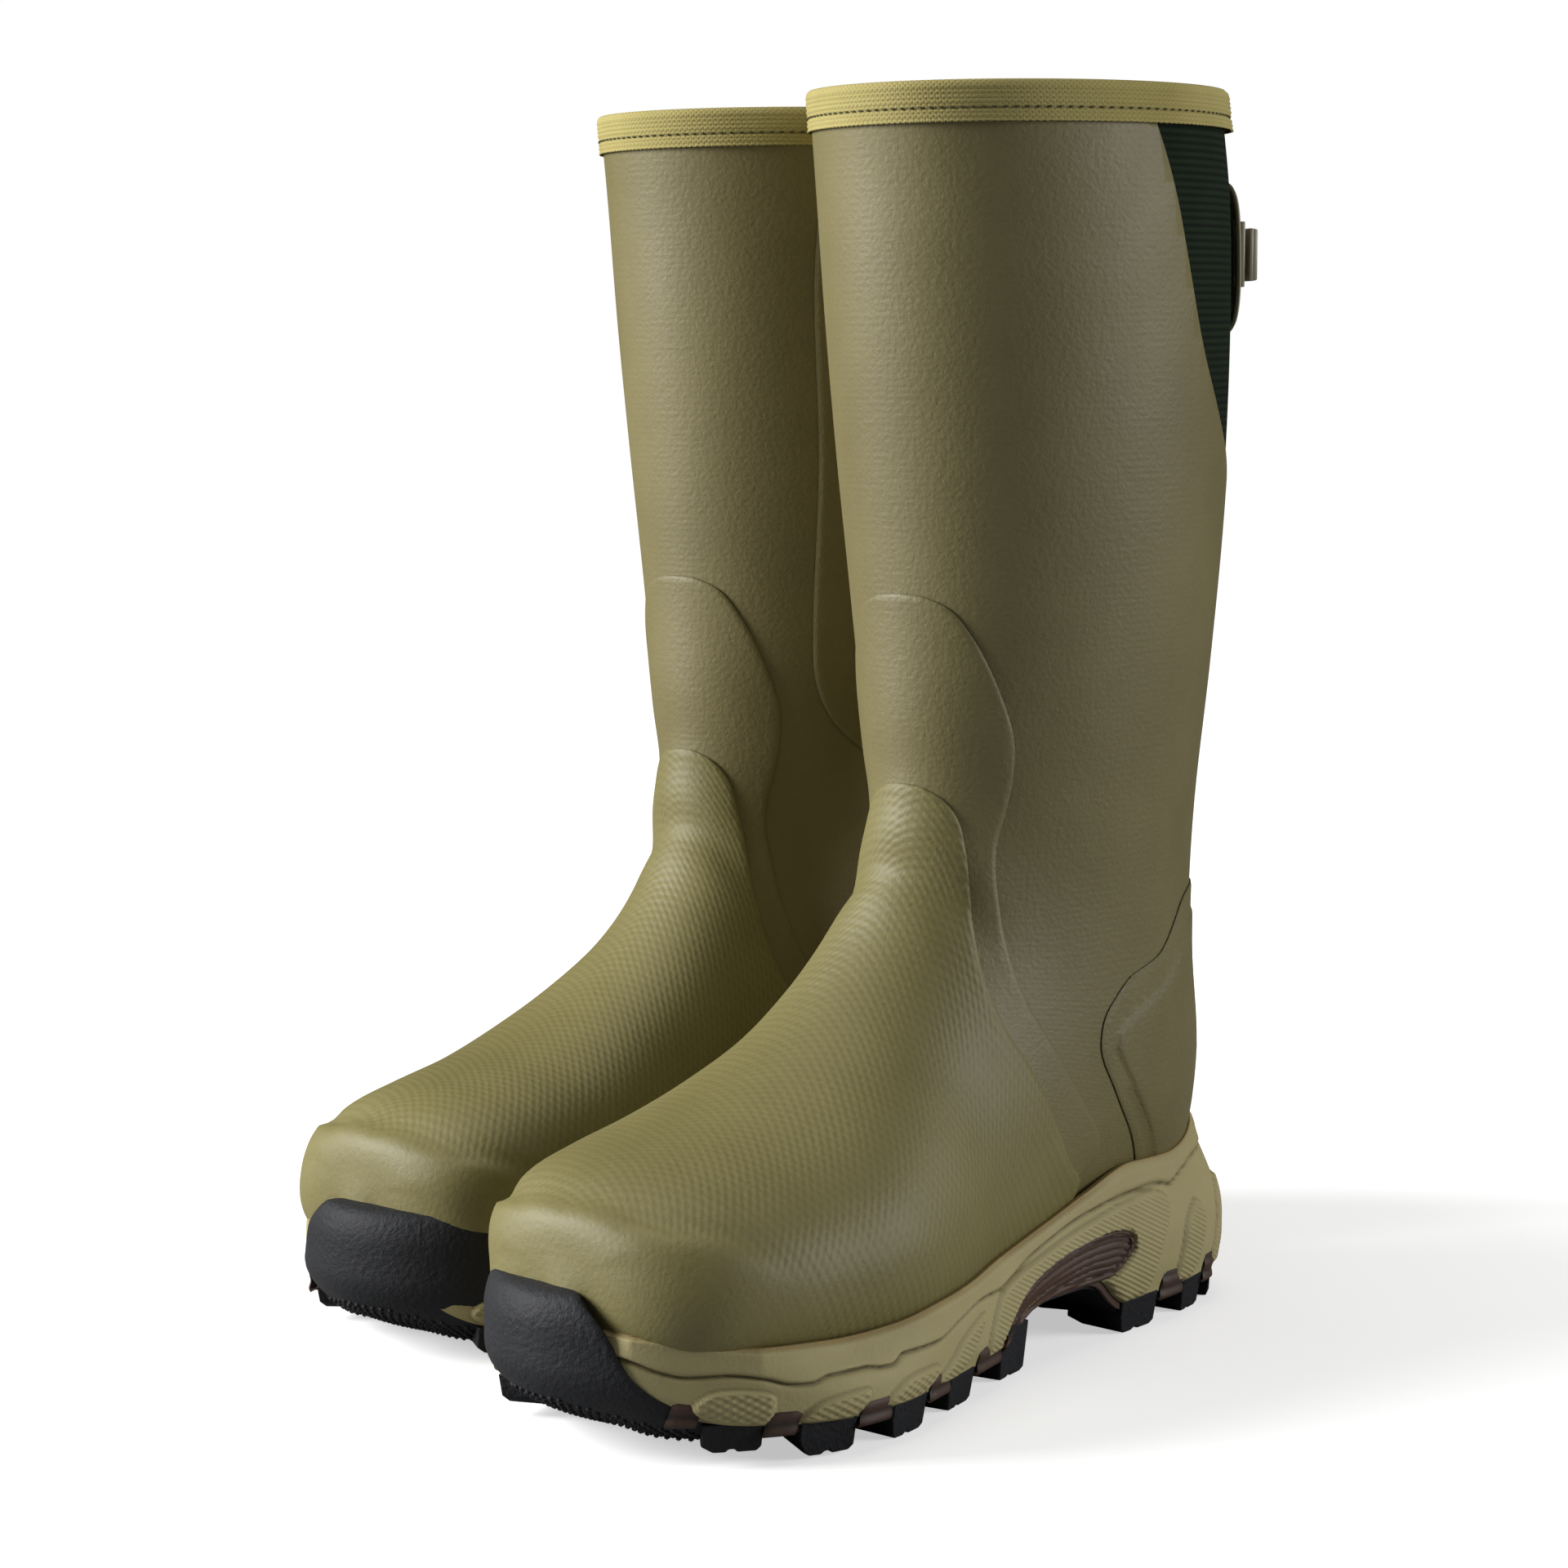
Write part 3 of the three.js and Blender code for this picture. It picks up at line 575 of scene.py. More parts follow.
def set_down(bm: BMesh, spec: PieceSpec) -> list[bpy.types.Object]:
    """Makes the left and the right piece from one left mesh in millimetres.

    Args:
        bm: The left mesh, which is used up.
        spec: Name, finish and the nodes that it stands for.

    Returns:
        Both objects.
    """
    made = []
    for side in Side:
        copy = bm.copy()
        copy.transform(side.matrix)
        if side is Side.RIGHT:
            bmesh.ops.reverse_faces(copy, faces=copy.faces[:])
        name = f"{side.prefix}{spec.name}"
        mesh = bpy.data.meshes.new(name)
        copy.to_mesh(mesh)
        copy.free()
        mesh.shade_smooth()
        mesh.set_sharp_from_angle(angle=math.radians(spec.sharp))
        mesh.materials.append(spec.finish.material())
        piece = bpy.data.objects.new(name, mesh)
        bpy.context.scene.collection.objects.link(piece)
        if spec.wall:
            wall = piece.modifiers.new("wall", "SOLIDIFY")
            wall.thickness, wall.offset = spec.wall * MM, -1
        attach(piece, f"{side.prefix}{spec.body.value}")
        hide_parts(*(f"{side.prefix}{n}" for n in spec.nodes))
        made.append(piece)
    LOG.info("%s: %d faces a side", spec.name, len(bm.faces))
    bm.free()
    return made


# ---- finishes -----------------------------------------------------------------------------
def linear(code: str) -> tuple[float, float, float, float]:
    """Linear colour of an sRGB hex code."""
    parts = [int(code[i:i + 2], 16) / 255 for i in (1, 3, 5)]
    return (*(p / 12.92 if p <= 0.04045 else ((p + 0.055) / 1.055) ** 2.4 for p in parts), 1.0)


def add(tree: bpy.types.NodeTree, kind: str, inputs: Optional[dict] = None, **settings: object
        ) -> bpy.types.Node:
    """Adds a node with its settings, and sets or links its inputs.

    Args:
        tree: Node tree of the material.
        kind: Type of the node, without its ShaderNode start.
        inputs: Values or sockets for its inputs.
        **settings: Properties of the node.

    Returns:
        The node.
    """
    made = tree.nodes.new("ShaderNode" + kind)
    for key, value in settings.items():
        setattr(made, key, value)
    for key, value in (inputs or {}).items():
        if isinstance(value, bpy.types.NodeSocket):
            tree.links.new(value, made.inputs[key])
        else:
            made.inputs[key].default_value = value
    return made


class Pattern(Enum):
    """Relief pressed or woven into a surface."""

    GRAIN = "grain"        # fine leather-like grain
    WEAVE = "weave"        # small diamonds from the fabric under the rubber
    FAINT_ROWS = "rows"    # faint level rows from the knit under the rubber
    RIB_KNIT = "ribs"      # level ribs crossed by fine columns
    WEBBING = "webbing"    # woven tape
    HATCH = "hatch"        # crossed lines on some pads, ribs on others


@dataclass(frozen=True)
class Finish:
    """One real material: its colours, gloss and relief.

    The colours run between light and dark in soft patches; creases are drawn in shadow.
    """

    name: str
    light: str
    dark: str
    # colour of the shade painted in creases and in the pattern's hollows
    crease: str
    roughness: float
    pattern: Pattern
    pitch: float                 # millimetres from one line or diamond to the next
    relief: float                # depth of the pattern, in millimetres
    grain: float = 1.2           # size of the fine grain, in millimetres
    grain_relief: float = 0.05
    specular: float = 0.5
    ior: float = 1.5
    sheen: float = 0.0
    coat: float = 0.0
    edge: Optional[str] = None   # colour along a marked edge
    hollow_shade: float = 0.0          # how much painted shade darkens the pattern's hollows

    def material(self) -> bpy.types.Material:
        """The Blender material, made once.

        Returns:
            The material that bears this finish's name.
        """
        known = bpy.data.materials.get(self.name)
        if known:
            return known
        made = bpy.data.materials.new(self.name)
        made.use_nodes = True
        tree = made.node_tree
        tree.nodes.clear()
        place = add(tree, "TexCoord")
        lines = None if self.pattern is Pattern.GRAIN else self.lines(tree, place)
        colour = self.colour(tree, place, lines)
        height = self.height(tree, place, lines)
        bump = add(tree, "Bump", {"Height": height, "Strength": 1.0, "Distance": MM})
        rough = add(tree, "TexNoise", {"Vector": place.outputs["Object"], "Scale": 45.0,
                                       "Detail": 3.0})
        spread = add(tree, "MapRange", {"Value": rough.outputs["Fac"],
                                        "To Min": self.roughness - 0.06,
                                        "To Max": self.roughness + 0.06})
        shader = add(tree, "BsdfPrincipled", {
            "Base Color": colour, "Roughness": spread.outputs["Result"],
            "Normal": bump.outputs["Normal"],
            "IOR": self.ior, "Specular IOR Level": self.specular, "Sheen Weight": self.sheen,
            "Sheen Roughness": 0.5, "Coat Weight": self.coat, "Coat Roughness": 0.45})
        add(tree, "OutputMaterial", {"Surface": shader.outputs["BSDF"]})
        return made

    def colour(self, tree: bpy.types.NodeTree, place: bpy.types.Node,
               lines: Optional[bpy.types.NodeSocket]) -> bpy.types.NodeSocket:
        """Soft patches of the two colours, with shade painted in creases and hollows and a marked
        edge.

        Args:
            tree: Node tree of the material.
            place: Its texture coordinates.
            lines: Height of the pattern, if there is one.

        Returns:
            The socket that gives the colour.
        """
        patches = add(tree, "TexNoise", {"Vector": place.outputs["Object"], "Scale": 14.0,
                                         "Detail": 4.0, "Roughness": 0.6})
        wide = add(tree, "MapRange", {"Value": patches.outputs["Fac"], "From Min": 0.3,
                                      "From Max": 0.7})
        base = add(tree, "Mix", {"Factor": wide.outputs["Result"], 6: linear(self.dark),
                                 7: linear(self.light)},
                   data_type="RGBA")
        # Painted shade: the colour is drawn towards the crease colour along marked creases and in
        # the pattern's hollows.
        mark = add(tree, "Attribute", attribute_name="crease")
        dark = mark.outputs["Fac"]
        # Painted shade in the pattern's hollows, darkest where the relief is lowest.
        if lines and self.hollow_shade:
            deep = add(tree, "MapRange", {"Value": lines, "From Min": 0.3, "From Max": -1.0,
                                          "To Max": self.hollow_shade})
            dark = add(tree, "Math", {0: dark, 1: deep.outputs["Result"]},
                       operation="MAXIMUM").outputs[0]
        out = add(tree, "Mix", {"Factor": dark, 6: base.outputs[2], 7: linear(self.crease)},
                  data_type="RGBA")
        if self.edge:
            line = add(tree, "Attribute", attribute_name="edge")
            out = add(tree, "Mix", {"Factor": line.outputs["Fac"], 6: out.outputs[2],
                                    7: linear(self.edge)},
                      data_type="RGBA")
        return out.outputs[2]

    def height(self, tree: bpy.types.NodeTree, place: bpy.types.Node,
               lines: Optional[bpy.types.NodeSocket]) -> bpy.types.NodeSocket:
        """Relief in millimetres: the pattern plus the fine grain.

        Args:
            tree: Node tree of the material.
            place: Its texture coordinates.
            lines: Height of the pattern, if there is one.

        Returns:
            The socket that gives the height.
        """
        grain = add(tree, "TexNoise", {"Vector": place.outputs["Object"],
                                       "Scale": 1000.0 / self.grain / 1.6,
                                       "Detail": 2.0, "Roughness": 0.55})
        fine = add(tree, "Math", {0: grain.outputs["Fac"], 1: self.grain_relief},
                   operation="MULTIPLY")
        if not lines:
            return fine.outputs[0]
        deep = add(tree, "Math", {0: lines, 1: self.relief}, operation="MULTIPLY")
        return add(tree, "Math", {0: fine.outputs[0], 1: deep.outputs[0]},
                   operation="ADD").outputs[0]

    def lines(self, tree: bpy.types.NodeTree, place: bpy.types.Node) -> bpy.types.NodeSocket:
        """The pattern's own relief, from -1 to 1, on the piece's UV map.

        Args:
            tree: Node tree of the material.
            place: Its texture coordinates.

        Returns:
            The socket that gives the relief.
        """
        split = add(tree, "SeparateXYZ", {0: place.outputs["UV"]})
        u, v = split.outputs[0], split.outputs[1]
        turn = 2 * math.pi * UV_MM / self.pitch

        def wave(a: float, b: float) -> bpy.types.NodeSocket:
            """Sine that runs a turns across and b turns up for each pitch."""
            along = add(tree, "Math", {0: u, 1: a * turn}, operation="MULTIPLY")
            both = add(tree, "Math", {0: v, 1: b * turn, 2: along.outputs[0]},
                       operation="MULTIPLY_ADD")
            return add(tree, "Math", {0: both.outputs[0]}, operation="SINE").outputs[0]

        def join(first: bpy.types.NodeSocket, second: bpy.types.NodeSocket,
                 how: str) -> bpy.types.NodeSocket:
            """Both reliefs put together by one operation."""
            return add(tree, "Math", {0: first, 1: second}, operation=how).outputs[0]

        if self.pattern is Pattern.WEAVE:
            woven = add(tree, "Attribute", attribute_name="woven")
            return join(join(wave(0.5, 0.9), wave(0.5, -0.9), "ADD"), woven.outputs["Fac"],
                        "MULTIPLY")
        if self.pattern is Pattern.FAINT_ROWS:
            columns = join(wave(0.7, 0.0), wave(0.0, 1.0), "MULTIPLY")
            return add(tree, "Math", {0: columns, 1: 0.5, 2: wave(0.0, 1.0)},
                       operation="MULTIPLY_ADD").outputs[0]
        if self.pattern is Pattern.RIB_KNIT:
            columns = join(wave(1.6, 0.0), wave(0.0, 1.0), "MULTIPLY")
            half = add(tree, "Math", {0: columns, 1: 0.35, 2: wave(0.0, 1.0)},
                       operation="MULTIPLY_ADD")
            return half.outputs[0]
        if self.pattern is Pattern.WEBBING:
            return join(wave(0.5, 0.5), wave(0.5, -0.5), "MAXIMUM")
        hatch = add(tree, "Attribute", attribute_name="hatch")
        ribs = add(tree, "Attribute", attribute_name="ribs")
        crossed = join(join(wave(0.4, 0.7), wave(0.4, -0.7), "ADD"), hatch.outputs["Fac"],
                       "MULTIPLY")
        ribbed = join(wave(-0.45, 0.95), ribs.outputs["Fac"], "MULTIPLY")
        return join(crossed, ribbed, "ADD")


# Natural rubber dipped over knitted foam, calendered: satin, with the knit showing faintly.
SHELL_RUBBER = Finish("dipped_rubber_olive", "#7a7148", "#6e653d", "#2c2612", 0.57,
                      Pattern.FAINT_ROWS, 2.2, 0.01, 1.15, 0.24, coat=0.03)
# The same rubber in a second bonded layer, leather-grained.
OVERLAY_RUBBER = Finish("bonded_rubber_olive", "#7b7249", "#6f663e", "#2c2612", 0.55,
                        Pattern.FAINT_ROWS, 2.2, 0.008, 1.15, 0.26, coat=0.03)
# Calendered rubber sheet over a woven backing: satin, with small diamonds pressed through.
# Real ones are 1 to 2.3 mm, too fine to show, so they are drawn at 3 mm.
VAMP_RUBBER = Finish("woven_face_rubber_olive", "#827a4a", "#756d3e", "#2f2811", 0.58,
                     Pattern.WEAVE, 3.0, 0.036, 1.1, 0.18, coat=0.05, hollow_shade=0.12)
# Neoprene foam with a knitted face: dull, dark and soft, with a faint mesh.
LINER_FOAM = Finish("neoprene_foam_liner", "#43473b", "#33372e", "#1c1f18", 0.95,
                    Pattern.WEBBING, 1.8, 0.12, 0.8, 0.05, specular=0.2, hollow_shade=0.3)
# Needled felt on foam: quite matt and a little mottled.
FOOTBED_FOAM = Finish("insole_felt", "#3f4338", "#31352c", "#1c1f18", 0.95,
                      Pattern.GRAIN, 1.0, 0.0, 0.9, 0.12, specular=0.2)
# Elastic rib knit, polyester over rubber thread: matt ridges, with near black shade painted into
# the furrows.
GUSSET_KNIT = Finish("elastic_rib_knit_green", "#22301f", "#182418", "#060a06", 0.95,
                     Pattern.RIB_KNIT, 2.5, 0.22, 0.6, 0.08, specular=0.15, hollow_shade=0.75)
# Knitted polyester binding: pale and matt, with fine level ribs.
BINDING_TAPE = Finish("ribbed_binding_tape", "#b8ac70", "#a3975c", "#4a4222", 0.9,
                      Pattern.WEBBING, 0.9, 0.06, 0.6, 0.08, specular=0.2, hollow_shade=0.25)
# Polyester sewing thread: dark against the tape, slightly lustrous.
STITCH_THREAD = Finish("sewing_thread_olive", "#45411f", "#38341a", "#1c1a0c", 0.7,
                       Pattern.GRAIN, 1.0, 0.0, 0.4, 0.04)
# Injection-moulded rubber: an even satin without any weave.
TAB_RUBBER = Finish("moulded_tab_rubber", "#9b9579", "#8d876c", "#3f3a25", 0.55,
                    Pattern.GRAIN, 1.0, 0.0, 1.2, 0.07)
# Woven nylon webbing: a fine dark twill.
STRAP_WEBBING = Finish("nylon_webbing_green", "#26372d", "#1b2a22", "#0a110d", 0.8,
                       Pattern.WEBBING, 1.5, 0.15, 0.5, 0.05, specular=0.25, hollow_shade=0.5)
# Moulded acetal: the smoothest finish here, with a low gloss on its edges.
BUCKLE_PLASTIC = Finish("acetal_khaki", "#908a72", "#827c66", "#3f3a25", 0.38,
                        Pattern.GRAIN, 1.0, 0.0, 0.9, 0.02)
# Compression-moulded EVA foam: matt skin, with hatching and ribs from the mould.
MIDSOLE_FOAM = Finish("eva_foam_khaki", "#b6ab7b", "#a69b6c", "#3c3218", 0.72,
                      Pattern.HATCH, 1.8, 0.13, 0.9, 0.16, edge="#8f7440", hollow_shade=0.2)
# Moulded rubber in brown: plain, and a touch glossier than the foam above it.
BROWN_RUBBER = Finish("moulded_rubber_brown", "#50382a", "#402c21", "#120b07", 0.6,
                      Pattern.GRAIN, 1.0, 0.0, 0.9, 0.08)
# Moulded rubber filled with carbon black: coarse leather grain that breaks up its shine.
BLACK_RUBBER = Finish("moulded_rubber_black", "#242528", "#1b1c1f", "#070708", 0.66,
                      Pattern.GRAIN, 1.0, 0.0, 1.2, 0.5, specular=0.3)


# ---- upper --------------------------------------------------------------------------------
@dataclass
class Upper:
    """The rubber upper: shell, gusset, bonded layers, liner and footbed."""

    form: BootForm
    shell_wall: float = 2.4
    liner_wall: float = 3.4
    layer: float = 1.2            # thickness of each bonded layer
    seam_angle: float = -60.0
    fold_depth: float = 2.2
    fold_swell: float = 0.8
    cap_height: float = 2.1
    cap_hollow: float = 0.9       # depth of the trough behind the toe cap
    gusset_front: tuple[Point, ...] = ((15.85, -57), (16.2, -41), (16.6, -22), (17, -11),
                                       (17.5, -4), (18, 1), (18.6, 6), (19, 9))
    gusset_rear: tuple[Point, ...] = ((15.85, -60), (18.6, -56), (19, -55))
    shin_outer: tuple[Point, ...] = (
        (8.0, -20), (9.55, -19), (9.85, -14), (9.83, 6), (9.85, 28), (10.15, 39), (10.5, 45),
        (11, 50), (11.5, 51), (12.2, 48), (12.8, 45.5), (13.3, 46), (13.9, 53.5), (14.3, 61),
        (14.58, 69), (14.68, 78), (14.7, 87))
    vamp_outer: tuple[Point, ...] = (
        (6, -42), (8.6, -36), (9.35, -24), (9.3, -8), (9.28, 16), (9.25, 30), (9.5, 43),
        (10, 51.5), (10.6, 58), (11.05, 61.5), (11.45, 64.5), (11.7, 70), (11.81, 80))
    cap_ridge: tuple[Point, ...] = ((-30, 4.6), (0, 4.2), (21, 3.2), (36, 2.35), (53, 1.75),
                                    (92, 1.4), (126, 1.75), (144, 2.35), (159, 3.2), (180, 4.2),
                                    (210, 4.6))
    # The outer rings carry painted shade at the foot of the layer's edge, where it meets the
    # shell.
    soft_edge: tuple[EdgeRing, ...] = (EdgeRing(0, -0.35, 0.9), EdgeRing(0.35, 0.6, 0.25),
                                       EdgeRing(0.6, 0.98), EdgeRing(1.1, 1.2), EdgeRing(2.5, 1.2))

    def mirror(self, points: Sequence[Point]) -> list[Point]:
        """The same edge on the inner side, from its far end back."""
        return [(t, 180 - d) for t, d in reversed(points)]

    def instep_fold(self, t: Array, deg: Array) -> Array:
        """Shallow fold where the instep flexes, with a swelling above it.

        Args:
            t: Stations.
            deg: Angles round the section.

        Returns:
            Height over the plain surface, in millimetres.
        """
        front = smooth_step(55, 22, np.abs(deg - 90))
        fold = self.fold_depth * np.exp(-((t - 10.05) / 0.42) ** 2)
        swell = self.fold_swell * np.exp(-((t - 10.9) / 0.5) ** 2)
        return -fold * front + swell * front

    def past_ridge(self, t: Array, deg: Array) -> Array:
        """How far in front of the toe cap's ridge each place is, in chart millimetres.

        Args:
            t: Stations.
            deg: Angles round the section.

        Returns:
            Distances, negative behind the ridge.
        """
        ridge = np.interp(deg, *np.array(self.cap_ridge).T)
        return self.form.to_chart(ridge, deg)[:, 1] - self.form.to_chart(t, deg)[:, 1]

    def build(self) -> None:
        """Builds and sets down all pieces of the upper."""
        self.shell()
        self.gusset()
        self.shin()
        self.vamp()
        self.heel()
        self.rub_guard()
        self.liner()
        self.footbed()

    def shell(self) -> None:
        """One dipped shell from toe to rim, open where the gusset sits."""
        a, b = self.seam_angle, self.seam_angle + 360
        front = [tuple(p) for p in curve(self.gusset_front, per=8)]
        rear = [(t, d + 360) for t, d in reversed(self.gusset_rear)]
        rear[-1] = (self.gusset_rear[0][0], b)
        outline = [(CAP_END, a), *front, *rear, (CAP_END, b)]
        rings = (EdgeRing(0, 0.0), EdgeRing(1.2, 0.0))
        patch = SurfacePatch(self.form, outline, rings, cell=(4.0, 4.0), smooth=False,
                             extra=self.instep_fold)
        set_down(patch.build(), PieceSpec("rubber_shell", SHELL_RUBBER, "shell_rubber",
                                          ("vamp_shell", "ankle_shell", "shaft_shell"),
                                          wall=self.shell_wall))

    def gusset(self) -> None:
        """Elastic knit panel set in behind the shell's edge."""
        front = [(t, d + 3.5) for t, d in curve(self.gusset_front, per=4)]
        rear = [(t, d - 2.5) for t, d in reversed(self.gusset_rear)]
        patch = SurfacePatch(self.form, [(15.7, -55), *front, *rear],
                             (EdgeRing(0, -1.6), EdgeRing(3, -1.0)),
                             cell=(3.5, 3.5), smooth=False)
        set_down(patch.build(), PieceSpec("gusset_panel", GUSSET_KNIT, "gusset_knit", ("gusset",),
                                          wall=1.4))

    def shin(self) -> None:
        """Bonded layer over the shin, carried down under the foot layer."""
        outline = [*self.shin_outer, *self.mirror(self.shin_outer)]
        patch = SurfacePatch(self.form, outline, self.soft_edge, cell=(3.5, 3.5),
                             extra=self.instep_fold)
        set_down(patch.build(), PieceSpec("shin_layer", OVERLAY_RUBBER, "overlay_rubber",
                                          ("shin_overlay",),
                                          wall=self.layer))

    def toe_cap(self, t: Array, deg: Array) -> Array:
        """Extra height of the toe cap in front of its soft ridge, and the flex fold.

        Args:
            t: Stations.
            deg: Angles round the section.

        Returns:
            Height over the plain layer, in millimetres.
        """
        gap = self.past_ridge(t, deg)
        front = smooth_step(-2.0, 3.2, gap) * self.cap_height
        behind = -self.cap_hollow * np.exp(-((gap + 5.0) / 5.5) ** 2)
        sides = smooth_step(0, 42, deg) * smooth_step(190, 150, deg)
        fade = np.maximum(sides, smooth_step(2.2, 0.3, t))
        return (front + behind) * fade + self.instep_fold(t, deg)

    def on_foot(self, t: Array, deg: Array) -> Array:
        """Where the woven face shows: fading out over the smooth toe cap."""
        return 1.0 - 0.85 * smooth_step(-4.0, 3.0, self.past_ridge(t, deg))

    def vamp(self) -> None:
        """Textured layer over the whole foot with the moulded toe cap."""
        a, b = -90.0, 270.0
        outline = [(CAP_END, a), (1.2, a), (1.2, -42),
                   *[tuple(p) for p in curve([(1.2, -42), *self.vamp_outer], per=4)[1:]],
                   *[tuple(p) for p in curve([(11.81, 90), *self.mirror(self.vamp_outer),
                                              (1.2, 222)], per=4)],
                   (1.2, b), (CAP_END, b)]
        # The outer rings carry painted shade at the foot of the layer's edge.
        rings = (EdgeRing(0, -0.35, 0.8), EdgeRing(0.35, 0.65, 0.2), EdgeRing(0.7, 1.05),
                 EdgeRing(1.5, 1.3))
        flat = SurfacePatch(self.form, outline, rings, base=self.layer, cell=(3.2, 3.2),
                            from_rim=False,
                            smooth=False, extra=self.toe_cap, masks={"woven": self.on_foot})
        set_down(flat.build(), PieceSpec("foot_layer", VAMP_RUBBER, "vamp_rubber",
                                         ("vamp_overlay",),
                                         wall=self.layer))

    def heel(self) -> None:
        """Bonded heel counter with a wide bevelled border."""
        outer = [(10.3, -62), (10.3, -38), (10.35, -20), (10.38, -6), (10.5, 4), (10.85, 7.5),
                 (11.3, 5), (11.8, -2), (12.3, -12), (12.8, -22), (13.2, -32), (13.5, -50),
                 (13.6, -70)]
        inner = [(t, -180 - d) for t, d in reversed(outer)]
        # The outer rings carry painted shade at the foot of the layer's edge.
        rings = (EdgeRing(0, -0.35, 0.9), EdgeRing(0.35, 0.5, 0.2), EdgeRing(0.9, 0.8),
                 EdgeRing(4.4, 0.8),
                 EdgeRing(0.8, 1.4, 0.1), EdgeRing(0.9, 1.6))
        patch = SurfacePatch(self.form, [*outer, *inner], rings, cell=(3.5, 3.5))
        set_down(patch.build(), PieceSpec("heel_counter_layer", OVERLAY_RUBBER, "overlay_rubber",
                                          ("heel_overlay",), wall=self.layer))

    def rub_guard(self) -> None:
        """Layer on the inner side where the boots rub."""
        outline = [(13.4, 160), (13.5, 152), (13.8, 146), (14.5, 143), (16, 143), (17.6, 143.5),
                   (18, 147), (18.15, 158), (18.15, 180), (18.1, 196), (17.8, 203), (17, 205),
                   (15.5, 204), (14.3, 200), (13.8, 192), (13.5, 180), (13.4, 170)]
        patch = SurfacePatch(self.form, outline, self.soft_edge, cell=(4, 4))
        set_down(patch.build(), PieceSpec("rub_guard_layer", OVERLAY_RUBBER, "overlay_rubber",
                                          ("rub_guard",),
                                          wall=self.layer))

    def liner(self) -> None:
        """Foam liner, closed round the toes."""
        out = self.shell_wall + 0.3
        outline = [(2.2, -90), (19, -90), (19, 270), (2.2, 270)]
        patch = SurfacePatch(self.form, outline, (EdgeRing(0, -out),), cell=(6, 6), smooth=False)
        bm = patch.build()
        toe = [e for e in bm.edges if e.is_boundary and max(v.co.y for v in e.verts) < -260]
        bmesh.ops.holes_fill(bm, edges=toe)
        set_down(bm, PieceSpec("foam_liner", LINER_FOAM, "liner_foam", ("liner",),
                               wall=self.liner_wall, foam=1.0))

    def footbed(self) -> None:
        """Loose insole on the floor of the liner."""
        deep = -(self.shell_wall + self.liner_wall + 0.6)
        side = [(2.4, -60), (3.2, -34), (5, -24), (7, -24), (9, -26), (10.4, -32), (11.1, -50),
                (11.3, -72)]
        inner = [(t, -180 - d) for t, d in reversed(side)]
        patch = SurfacePatch(self.form, [*side, *inner], (EdgeRing(0, deep), EdgeRing(2, deep)),
                             cell=(6, 6))
        set_down(patch.build(), PieceSpec("insole", FOOTBED_FOAM, "footbed_foam", ("footbed",),
                                          wall=4.5, foam=0.9))


